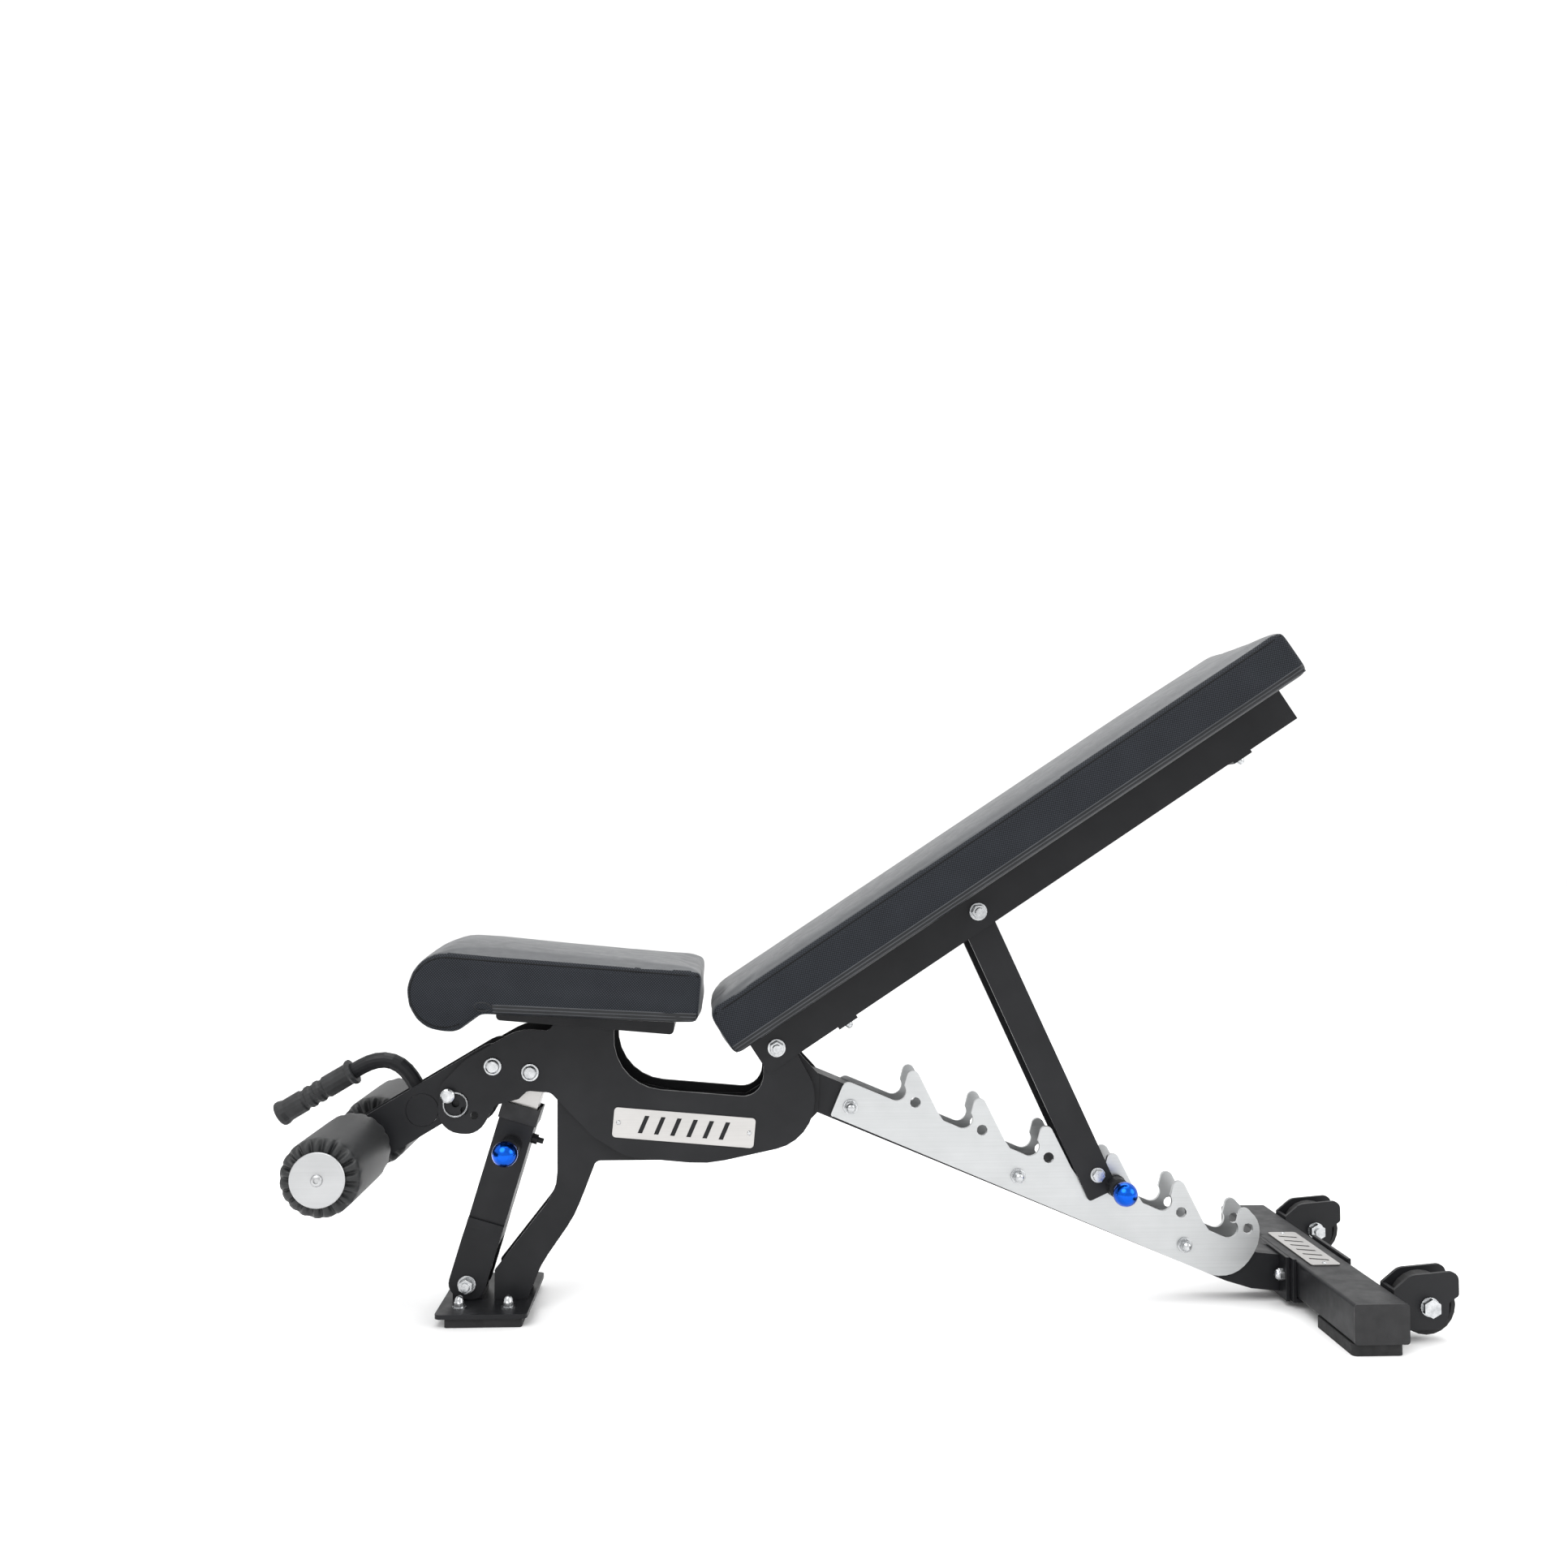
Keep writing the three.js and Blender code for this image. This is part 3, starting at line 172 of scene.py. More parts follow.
class Surface:
    """A node material with a Principled shader and short ways to add texture to it."""

    def __init__(self, name, color, roughness, metallic=0.0, **sockets):
        self.material = bpy.data.materials.new(name)
        self.material.use_nodes = True
        self.tree = self.material.node_tree
        self.shader = self.tree.nodes["Principled BSDF"]
        self.height = None
        self.set("Base Color", (*color, 1))
        self.set("Roughness", roughness)
        self.set("Metallic", metallic)
        for socket, value in sockets.items():
            self.set(socket.replace("_", " "), value)

    def set(self, socket, value):
        self.shader.inputs[socket].default_value = value

    def node(self, kind, inputs=None, **settings):
        made = self.tree.nodes.new(kind)
        for key, value in settings.items():
            setattr(made, key, value)
        for key, value in (inputs or {}).items():
            if isinstance(value, bpy.types.NodeSocket):
                self.tree.links.new(value, made.inputs[key])
            else:
                made.inputs[key].default_value = value
        return made

    def place(self, stretch=(1, 1, 1), turn=(0, 0, 0)):
        """Object coordinates, stretched and turned."""
        where = self.node("ShaderNodeTexCoord").outputs["Object"]
        mapping = self.node("ShaderNodeMapping", {"Vector": where, "Scale": stretch, "Rotation": turn})
        return mapping.outputs["Vector"]

    def noise(self, scale, detail=4.0, vector=None, roughness=0.6):
        inputs = {"Scale": scale, "Detail": detail, "Roughness": roughness, "Vector": vector or self.place()}
        return self.node("ShaderNodeTexNoise", inputs).outputs["Fac"]

    def wave(self, scale, vector, direction):
        inputs = {"Scale": scale, "Vector": vector}
        made = self.node("ShaderNodeTexWave", inputs, wave_type="BANDS", bands_direction=direction)
        return made.outputs["Fac"]

    def math(self, operation, a, b=0.0):
        return self.node("ShaderNodeMath", {0: a, 1: b}, operation=operation).outputs[0]

    def ramp(self, value, low, high, from_range=(0.3, 0.7)):
        """A number that runs from low to high as value runs over from_range."""
        inputs = {
            "Value": value,
            "From Min": from_range[0],
            "From Max": from_range[1],
            "To Min": low,
            "To Max": high,
        }
        return self.node("ShaderNodeMapRange", inputs).outputs["Result"]

    def tint(self, value, dark, light, from_range=(0.3, 0.7)):
        """Colours the surface between dark and light as value runs over from_range."""
        ramp = self.node("ShaderNodeValToRGB", {"Fac": value})
        ramp.color_ramp.elements[0].position = from_range[0]
        ramp.color_ramp.elements[0].color = (*dark, 1)
        ramp.color_ramp.elements[1].position = from_range[1]
        ramp.color_ramp.elements[1].color = (*light, 1)
        self.tree.links.new(ramp.outputs["Color"], self.shader.inputs["Base Color"])

    def roughness_from(self, value, low, high, from_range=(0.3, 0.7)):
        self.tree.links.new(self.ramp(value, low, high, from_range), self.shader.inputs["Roughness"])

    def bump(self, value, distance, strength=1.0):
        """Adds a layer of relief; distance is its depth in metres."""
        inputs = {"Height": value, "Distance": distance, "Strength": strength}
        if self.height is not None:
            inputs["Normal"] = self.height
        self.height = self.node("ShaderNodeBump", inputs).outputs["Normal"]
        for link in list(self.shader.inputs["Normal"].links):
            self.tree.links.remove(link)
        self.tree.links.new(self.height, self.shader.inputs["Normal"])


def powder_coat():
    coat = Surface("powder_coat", (0.010, 0.0105, 0.012), 0.42, Specular_IOR_Level=0.2)
    mottle = coat.noise(9, detail=3)
    coat.tint(mottle, (0.008, 0.0083, 0.0095), (0.013, 0.0134, 0.015))
    coat.roughness_from(coat.noise(40), 0.34, 0.48)
    coat.bump(coat.noise(1400, detail=2), 0.1 * MM, 0.2)
    coat.bump(coat.noise(180, detail=2), 0.15 * MM, 0.06)
    return coat.material


def brushed_steel(name, turn=0.0, color=(0.49, 0.5, 0.505)):
    """Steel with its grain along X once turned about Y."""
    steel = Surface(name, color, 0.36, 1.0)
    along = steel.place((4, 420, 420), (0, turn, 0))
    grain = steel.noise(1.0, detail=6, vector=along, roughness=0.7)
    cloud = steel.noise(14, detail=3)
    dark = tuple(0.86 * c for c in color)
    light = tuple(1.08 * c for c in color)
    fine = steel.math("MULTIPLY", grain, 0.6)
    broad = steel.math("MULTIPLY", cloud, 0.4)
    steel.tint(steel.math("ADD", fine, broad), dark, light)
    steel.roughness_from(grain, 0.3, 0.46)
    steel.bump(grain, 0.06 * MM, 0.3)
    return steel.material


def zinc():
    plate = Surface("zinc", (0.47, 0.48, 0.49), 0.24, 1.0)
    plate.tint(plate.noise(120, detail=3), (0.36, 0.37, 0.38), (0.58, 0.59, 0.6))
    plate.roughness_from(plate.noise(300), 0.18, 0.34)
    plate.bump(plate.noise(500, detail=3), 0.05 * MM, 0.25)
    return plate.material


def blue_anodised():
    blue = Surface("blue_anodised", (0.002, 0.09, 0.58), 0.2, 1.0, Coat_Weight=0.15, Coat_Roughness=0.06)
    rings = blue.noise(1.0, detail=2, vector=blue.place((20, 700, 20)))
    blue.tint(rings, (0.001, 0.075, 0.5), (0.003, 0.105, 0.64))
    blue.roughness_from(rings, 0.16, 0.24)
    return blue.material


def side_vinyl():
    """Woven vinyl: warp and weft ribs in the pad's own plane."""
    vinyl = Surface("woven_vinyl", (0.012, 0.015, 0.021), 0.55, Specular_IOR_Level=0.15)
    place = vinyl.place((1, 1, 1), (0, math.radians(45), 0))
    warp = vinyl.wave(125, place, "X")
    weft = vinyl.wave(125, place, "Z")
    weave = vinyl.math("MULTIPLY", warp, weft)
    cloud = vinyl.math("MULTIPLY", vinyl.noise(25), 0.25)
    vinyl.tint(vinyl.math("ADD", weave, cloud), (0.005, 0.006, 0.008), (0.026, 0.030, 0.037), (0.1, 0.8))
    vinyl.roughness_from(weave, 0.66, 0.46, (0.0, 1.0))
    vinyl.bump(weave, 0.5 * MM, 0.7)
    vinyl.bump(vinyl.noise(22, detail=2), 1.5 * MM, 0.15)
    return vinyl.material


def top_vinyl():
    """Smooth vinyl with a fine leather grain and a soft sheen."""
    vinyl = Surface("smooth_vinyl", (0.020, 0.024, 0.028), 0.42, Specular_IOR_Level=0.5, Sheen_Weight=0.1)
    vinyl.tint(vinyl.noise(12, detail=4), (0.016, 0.019, 0.023), (0.026, 0.030, 0.035))
    grain = {"Scale": 900, "Vector": vinyl.place()}
    cells = vinyl.node("ShaderNodeTexVoronoi", grain, feature="DISTANCE_TO_EDGE")
    vinyl.roughness_from(vinyl.noise(60), 0.36, 0.48)
    vinyl.bump(cells.outputs["Distance"], 0.15 * MM, 0.5)
    vinyl.bump(vinyl.noise(18, detail=2), 2 * MM, 0.04)
    return vinyl.material


def trim_vinyl(name, dark, light):
    """The smooth vinyl of the bands along the pads' lower edges; in a lighter colour it also gives the painted
    highlight on the raised trim lines.
    """
    vinyl = Surface(name, dark, 0.36, Specular_IOR_Level=0.3)
    vinyl.tint(vinyl.noise(30, detail=3), dark, light)
    vinyl.roughness_from(vinyl.noise(80), 0.3, 0.42)
    vinyl.bump(vinyl.noise(500, detail=2), 0.1 * MM, 0.2)
    return vinyl.material


def roller_fabric():
    cloth = Surface("roller_fabric", (0.007, 0.0075, 0.0085), 0.48, Specular_IOR_Level=0.4, Sheen_Weight=0.04)
    cloth.tint(cloth.noise(30, detail=5), (0.004, 0.0045, 0.005), (0.011, 0.012, 0.013))
    courses = cloth.wave(260, cloth.place(), "Y")
    wales = cloth.wave(260, cloth.place(), "DIAGONAL")
    knit = cloth.math("MULTIPLY", courses, wales)
    cloth.bump(knit, 0.25 * MM, 0.4)
    cloth.bump(cloth.noise(45, detail=3), 1.2 * MM, 0.25)
    return cloth.material


def rubber(name="rubber", color=(0.009, 0.009, 0.0095), roughness=0.7):
    black = Surface(name, color, roughness, Specular_IOR_Level=0.35)
    dark = tuple(0.75 * c for c in color)
    light = tuple(1.5 * c for c in color)
    black.tint(black.noise(50, detail=5), dark, light)
    black.roughness_from(black.noise(90), roughness - 0.1, roughness + 0.1)
    black.bump(black.noise(900, detail=3), 0.2 * MM, 0.35)
    return black.material


# Twisted thread for the stitches; the same material, near black, colours the seam lines as painted shade for
# the shadow in the seams.
def thread(name, dark, light):
    yarn_and_seam_shade = Surface(name, dark, 0.7, Specular_IOR_Level=0.2)
    twist = yarn_and_seam_shade.wave(900, yarn_and_seam_shade.place(), "DIAGONAL")
    yarn_and_seam_shade.tint(twist, dark, light)
    yarn_and_seam_shade.bump(twist, 0.1 * MM, 0.5)
    return yarn_and_seam_shade.material


COAT = powder_coat()
LADDER_STEEL = brushed_steel("ladder_steel", math.radians(22.6))
DISC_STEEL = brushed_steel("disc_steel", color=(0.43, 0.435, 0.44))
PLATE_STEEL = brushed_steel("plate_steel", color=(0.5, 0.49, 0.48))
ZINC = zinc()
BLUE = blue_anodised()
SIDE_VINYL = side_vinyl()
TOP_VINYL = top_vinyl()
TRIM_VINYL = trim_vinyl("trim_vinyl", (0.005, 0.006, 0.007), (0.009, 0.010, 0.012))
# Painted highlight: the raised trim lines are coloured lighter than the dark trim band, standing in for the
# light their ridges catch.
TRIM_LINE_HIGHLIGHT = trim_vinyl("trim_line_painted_highlight", (0.030, 0.032, 0.036), (0.045, 0.048, 0.054))
FABRIC = roller_fabric()
RUBBER = rubber()
GRIP = rubber("grip_rubber", (0.014, 0.0145, 0.0155), 0.55)
PLASTIC = rubber("moulded_plastic", (0.010, 0.010, 0.011), 0.45)
THREAD = thread("thread", (0.014, 0.016, 0.019), (0.034, 0.038, 0.045))
# Painted shade: the near-black seam lines stand in for the shadow where the top cover meets the side panel.
SEAM_PAINTED_SHADE = thread("seam_painted_shade", (0.0012, 0.0014, 0.0018), (0.003, 0.0034, 0.004))

SLOT_FINISH = {
    "powder_coat": COAT,
    "brushed_steel": PLATE_STEEL,
    "zinc": ZINC,
    "blue_anodised": BLUE,
    "vinyl_pad": TOP_VINYL,
    "roller_cover": FABRIC,
    "rubber": RUBBER,
    "plastic": PLASTIC,
}
NODE_FINISH = {"ladder_left": LADDER_STEEL, "ladder_right": LADDER_STEEL, "handle_grip": GRIP}


# The CAD nodes' finish


def smooth_by_angle(mesh, degrees=30):
    for face in mesh.polygons:
        face.use_smooth = True
    mesh.set_sharp_from_angle(angle=math.radians(degrees))


def finish_cad_nodes():
    slots = {part["node"]: part["material_slot"] for part in frame["record"]["subparts"]}
    for name, node in nodes.items():
        node.data.materials.clear()
        node.data.materials.append(NODE_FINISH.get(name, SLOT_FINISH[slots[name]]))
        weld = node.modifiers.new("weld", "WELD")
        weld.merge_threshold = WELD_WITHIN
        edge = node.modifiers.new("soft_edges", "BEVEL")
        edge.width = EDGE["width"]
        edge.segments = EDGE["segments"]
        edge.limit_method = "ANGLE"
        edge.angle_limit = math.radians(EDGE["degrees"])
        edge.use_clamp_overlap = True
        edge.harden_normals = True


# Building blocks


def add_piece(name, mesh, body, slot, *materials):
    piece = bpy.data.objects.new(name, mesh)
    bpy.context.scene.collection.objects.link(piece)
    for material in materials:
        mesh.materials.append(material)
    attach(piece, body)
    return piece


def mesh_from(name, vertices, faces):
    mesh = bpy.data.meshes.new(name)
    mesh.from_pydata([tuple(v) for v in vertices], [], faces)
    mesh.validate()
    return mesh


def mesh_of(form, name):
    mesh = bpy.data.meshes.new(name)
    form.to_mesh(mesh)
    form.free()
    return mesh


def turned_mesh(name, profile, matrix, turns=48):
    """A closed turned form: profile lists (radius, height) from axis to axis, about the matrix's Z axis."""
    form = bmesh.new()
    rings = []
    for radius, height in profile:
        if radius < 1e-6:
            rings.append([form.verts.new(matrix @ Vector((0, 0, height)))])
            continue
        angles = [TAU * i / turns for i in range(turns)]
        rings.append([
            form.verts.new(matrix @ Vector((radius * math.cos(a), radius * math.sin(a), height)))
            for a in angles
        ])
    for lower, upper in zip(rings, rings[1:]):
        join_rings(form, lower, upper, turns)
    bmesh.ops.recalc_face_normals(form, faces=form.faces)
    mesh = mesh_of(form, name)
    smooth_by_angle(mesh, 40)
    return mesh


def join_rings(form, lower, upper, turns):
    for i in range(turns):
        k = (i + 1) % turns
        corners = [lower[i % len(lower)], lower[k % len(lower)], upper[k % len(upper)], upper[i % len(upper)]]
        unique = list(dict.fromkeys(corners))
        if len(unique) > 2:
            form.faces.new(unique)


def frame_at(at, direction):
    """A matrix at a point with its Z axis along a direction."""
    return Matrix.Translation(at) @ Vector(direction).to_track_quat("Z", "Y").to_matrix().to_4x4()


def arc(centre, radius, start, end, steps):
    """Points (radius, height) on an arc, angles in degrees from the outward direction."""
    angles = [math.radians(start + (end - start) * i / steps) for i in range(steps + 1)]
    return [(centre[0] + radius * math.cos(a), centre[1] + radius * math.sin(a)) for a in angles]


def middle(node):
    low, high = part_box(node)
    return (Vector(low) + Vector(high)) / 2


def tube_mesh(name, points, radius, sides=8, closed=False):
    """A tube of round section through points, as one mesh."""
    form = bmesh.new()
    count = len(points)
    rings = []
    for i, point in enumerate(points):
        before = points[(i - 1) % count] if closed or i else point
        after = points[(i + 1) % count] if closed or i < count - 1 else point
        turn = (after - before).normalized().to_track_quat("Z", "Y").to_matrix()
        ring = [
            form.verts.new(point + turn @ Vector((radius * math.cos(a), radius * math.sin(a), 0)))
            for a in (TAU * k / sides for k in range(sides))
        ]
        rings.append(ring)
    pairs = list(zip(rings, rings[1:])) + ([(rings[-1], rings[0])] if closed else [])
    for lower, upper in pairs:
        shift = min(range(sides), key=lambda s: (upper[s].co - lower[0].co).length)
        join_rings(form, lower, upper[shift:] + upper[:shift], sides)
    if not closed:
        form.faces.new(rings[0])
        form.faces.new(rings[-1])
    bmesh.ops.recalc_face_normals(form, faces=form.faces)
    mesh = mesh_of(form, name)
    for face in mesh.polygons:
        face.use_smooth = True
    return mesh


# Pads


def run_cloth(piece):
    """Swells a pad as stuffed cloth on its flat base, with each point's move capped."""
    scene = bpy.context.scene
    rest = [(v.co.copy(), v.normal.copy()) for v in piece.data.vertices]
    base = piece.vertex_groups.new(name="base")
    base.add([v.index for v in piece.data.vertices if v.normal.z < BASE_FACING], 1.0, "REPLACE")
    cloth = piece.modifiers.new("cloth", "CLOTH")
    cloth.settings.use_pressure = True
    cloth.settings.uniform_pressure_force = PAD_PRESSURE
    cloth.settings.effector_weights.gravity = 0
    cloth.settings.vertex_group_mass = "base"
    cloth.settings.quality = CLOTH_QUALITY
    cloth.point_cache.frame_end = PAD_FRAMES
    for step in range(1, PAD_FRAMES + 1):
        scene.frame_set(step)
    swollen = piece.evaluated_get(bpy.context.evaluated_depsgraph_get())
    for vertex, moved, (start, outward) in zip(piece.data.vertices, swollen.data.vertices, rest):
        shift = moved.co - start
        if shift.dot(outward) < 0:
            shift *= EDGE_YIELD
        if shift.length > PAD_SWELL:
            shift *= PAD_SWELL / shift.length
        vertex.co = start + shift
    piece.modifiers.clear()
    piece.vertex_groups.clear()
    scene.frame_set(1)


def crown(mesh, height_at):
    """Raises a pad's top towards its middle line; height_at(x) is how far."""
    for vertex in mesh.vertices:
        x, y, z = vertex.co
        rise = min(1, max(0, (z - CROWN_FOOT) / (CROWN_TOP - CROWN_FOOT)))
        across = max(0, 1 - (y / PAD_HALF_WIDTH) ** 2)
        vertex.co.z = z + height_at(x) * rise * rise * (3 - 2 * rise) * across


def smooth_vertices(mesh, rounds, factor=0.5):
    form = bmesh.new()
    form.from_mesh(mesh)
    for _ in range(rounds):
        bmesh.ops.smooth_vert(
            form, verts=form.verts, factor=factor, use_axis_x=True, use_axis_y=True, use_axis_z=True
        )
    form.to_mesh(mesh)
    form.free()


def apply_modifiers(piece):
    made = bpy.data.meshes.new_from_object(piece.evaluated_get(bpy.context.evaluated_depsgraph_get()))
    piece.modifiers.clear()
    piece.data = made


def remesh(piece, voxel):
    modifier = piece.modifiers.new("remesh", "REMESH")
    modifier.mode = "VOXEL"
    modifier.voxel_size = voxel
    apply_modifiers(piece)


def subdivide(piece):
    piece.modifiers.new("smooth", "SUBSURF").levels = 1
    apply_modifiers(piece)


def cover_pad(node, body, turn, band_top, crown_at=None):
    """The padded cover that stands for a CAD pad, in its own plane's coordinates.

    band_top(x) is the height where the smooth trim band ends and the woven side panel starts,
    and crown_at(x) is how much higher than the CAD pad the cover stands along its middle."""
    plane = Matrix.Translation(MAIN_HINGE) @ Matrix.Rotation(turn, 4, "Y")
    mesh = nodes[node].data.copy()
    mesh.transform(plane.inverted())
    mesh.name = f"{node}_cover"
    mesh.materials.clear()
    piece = bpy.data.objects.new(f"{node}_cover", mesh)
    bpy.context.scene.collection.objects.link(piece)
    remesh(piece, PAD_VOXEL)
    for vertex in piece.data.vertices:
        if vertex.normal.z > BASE_FACING:
            vertex.co -= vertex.normal * PAD_SHRINK
    if crown_at:
        crown(piece.data, crown_at)
    run_cloth(piece)
    smooth_vertices(piece.data, 1)
    subdivide(piece)
    for material in (TOP_VINYL, SIDE_VINYL, TRIM_VINYL):
        piece.data.materials.append(material)
    for face in piece.data.polygons:
        face.use_smooth = True
        side_panel = abs(face.center.y) > SIDE_PANEL_FROM and abs(face.normal.y) > SIDE_FACING
        if face.center.z < band_top(face.center.x):
            face.material_index = 2
        elif side_panel:
            face.material_index = 1
    piece.matrix_world = plane
    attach(piece, body)
    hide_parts(node)
    return piece, plane


def surface_tree(piece):
    form = bmesh.new()
    form.from_mesh(piece.data)
    tree = BVHTree.FromBMesh(form)
    form.free()
    return tree


def side_point(tree, x, z, sign):
    """Where the pad's side lies at x and z, in its plane's coordinates."""
    start = Vector((x, sign * RAY_FROM, z))
    hit = tree.ray_cast(start, Vector((0, -sign, 0)))[0]
    return hit if hit is not None and sign * hit.y > SIDE_PANEL_FROM - SIDE_ROUNDING else None


def even(points, reach=6):
    """The same points with their sideways place averaged over their neighbours."""
    levelled = []
    for i, point in enumerate(points):
        near = points[max(0, i - reach):i + reach + 1]
        levelled.append(Vector((point.x, sum(p.y for p in near) / len(near), point.z)))
    return levelled


def sewn_line(pad, name, body, path, radius, material, sunk=0.4):
    """A raised line on both sides of a pad, through [x, z] points of its plane."""
    piece, plane = pad
    tree = surface_tree(piece)
    for side, sign in (("left", -1), ("right", 1)):
        found = [side_point(tree, x, z, sign) for x, z in path]
        points = [p - Vector((0, sign * radius * sunk, 0)) for p in even([p for p in found if p is not None])]
        mesh = tube_mesh(f"{name}_{side}", [plane @ p for p in points], radius)
        add_piece(f"{name}_{side}", mesh, body, "vinyl_pad", material)


def sewn_stitches(pad, name, body, path):
    """Short stitches along a path on both sides of a pad."""
    piece, plane = pad
    tree = surface_tree(piece)
    for side, sign in (("left", -1), ("right", 1)):
        form = bmesh.new()
        points = [p for p in (side_point(tree, x, z, sign) for x, z in path) if p is not None]
        for start, end in stitches_along(points):
            add_stitch(form, plane @ start, plane @ end)
        mesh = mesh_of(form, f"{name}_{side}")
        add_piece(f"{name}_{side}", mesh, body, "vinyl_pad", THREAD)


def stitches_along(points):
    """Pairs of points, one stitch long, spaced along a line of points."""
    pitch = STITCH["length"] + STITCH["gap"]
    walked = 0.0
    for a, b in zip(points, points[1:]):
        run = (b - a).length
        while run > 1e-9 and walked + STITCH["length"] <= run:
            start = a.lerp(b, walked / run)
            yield start, a.lerp(b, (walked + STITCH["length"]) / run)
            walked += pitch
        walked = max(0.0, walked - run)


def add_stitch(form, start, end):
    """One thread stitch, a thin rounded bar between two points."""
    turn = (end - start).to_track_quat("Z", "Y").to_matrix()
    ends = []
    for share, size in STITCH_SECTIONS:
        point = start.lerp(end, share)
        radius = size * STITCH["radius"]
        ends.append([
            form.verts.new(point + turn @ Vector((radius * math.cos(a), radius * math.sin(a), 0)))
            for a in (TAU * k / STITCH_SIDES for k in range(STITCH_SIDES))
        ])
    for lower, upper in zip(ends, ends[1:]):
        join_rings(form, lower, upper, STITCH_SIDES)
    form.faces.new(ends[0][::-1])
    form.faces.new(ends[-1])


def dense(points, step=4 * MM):
    """The same line with points no further apart than a step."""
    line = [points[0]]
    for a, b in zip(points, points[1:]):
        parts = max(1, math.ceil(math.dist(a, b) / step))
        for k in range(1, parts + 1):
            line.append((a[0] + (b[0] - a[0]) * k / parts, a[1] + (b[1] - a[1]) * k / parts))
    return line


def back_crown(x):
    """Full over most of the pad, and fading out towards its upper end."""
    t = min(1, max(0, (x - BACK_CROWN["from"]) / (BACK_CROWN["to"] - BACK_CROWN["from"])))
    return BACK_CROWN["height"] + (BACK_CROWN["end"] - BACK_CROWN["height"]) * t * t


def back_pad():
    pad = cover_pad("back_pad", "back", BACK_TURN, lambda x: BACK_BAND + 2 * TRIM_PITCH, back_crown)
    low_x, high_x = BACK_PAD_ENDS
    low_inset, high_inset = BACK_SEAM["insets"]
    seam = dense([(low_x + low_inset, BACK_SEAM["height"]), (high_x - high_inset, BACK_SEAM["height"])])
    # The seam line is painted shade: a near-black raised line where the seam's shadow falls.
    sewn_line(pad, "back_pad_seam_shade", "back", seam, PIPING_RADIUS, SEAM_PAINTED_SHADE)
    sewn_stitches(pad, "back_pad_stitches", "back", [(x, z - STITCH["offset"]) for x, z in seam])
    for i in range(TRIM_LINES):
        height = BACK_BAND + i * TRIM_PITCH
        line = dense([(low_x + SEAM_INSET, height), (high_x - SEAM_INSET, height)])
        # Painted highlight: the trim lines get a lighter colour in place of the light on their ridges.
        sewn_line(pad, f"back_pad_trim_{i + 1}", "back", line, TRIM_RADIUS, TRIM_LINE_HIGHLIGHT)


def seat_pad():
    def band_foot(x):
        """The underside of the seat pad's side, which rises towards the rear."""
        return (SEAT_BAND["rear_height"] + (x - SEAT_REAR) / MM * SEAT_BAND["slope"]) * MM

    def band_top(x):
        return band_foot(x) + 3 * TRIM_PITCH if x > SEAT_BAND_FROM else -1

    pad = cover_pad("seat_pad", "seat", SEAT_TURN, band_top)
    roll, radius = SEAT_ROLL["at"], SEAT_ROLL["radius"]
    around = [
        (roll[0] + radius * math.cos(a), roll[1] + radius * math.sin(a))
        for a in (math.radians(d) for d in SEAT_ROLL["degrees"])
    ]
    seam = dense(around + SEAT_TOP_SEAM)
    # The seam line is painted shade: a near-black raised line where the seam's shadow falls.
    sewn_line(pad, "seat_pad_seam_shade", "seat", seam, PIPING_RADIUS, SEAM_PAINTED_SHADE)
    inside = [(x, z - STITCH["offset"]) for x, z in seam if z > roll[1]]
    sewn_stitches(pad, "seat_pad_stitches", "seat", inside)
    for i in range(TRIM_LINES):
        lift = (i + 1) * TRIM_PITCH
        line = dense([(x, band_foot(x) + lift) for x in (SEAT_BAND_FROM, SEAT_REAR)])
        # Painted highlight: the trim lines get a lighter colour in place of the light on their ridges.
        sewn_line(pad, f"seat_pad_trim_{i + 1}", "seat", line, TRIM_RADIUS, TRIM_LINE_HIGHLIGHT)
    x, z = SEAT_OVAL["at"]
    half_x, half_z = SEAT_OVAL["half"]
    angles = [TAU * k / OVAL_SIDES for k in range(OVAL_SIDES + 1)]
    oval = [(x + half_x * math.cos(a), z + half_z * math.sin(a)) for a in angles]
    sewn_line(pad, "seat_pad_oval", "seat", oval, PIPING_RADIUS, TRIM_VINYL)


# Rollers


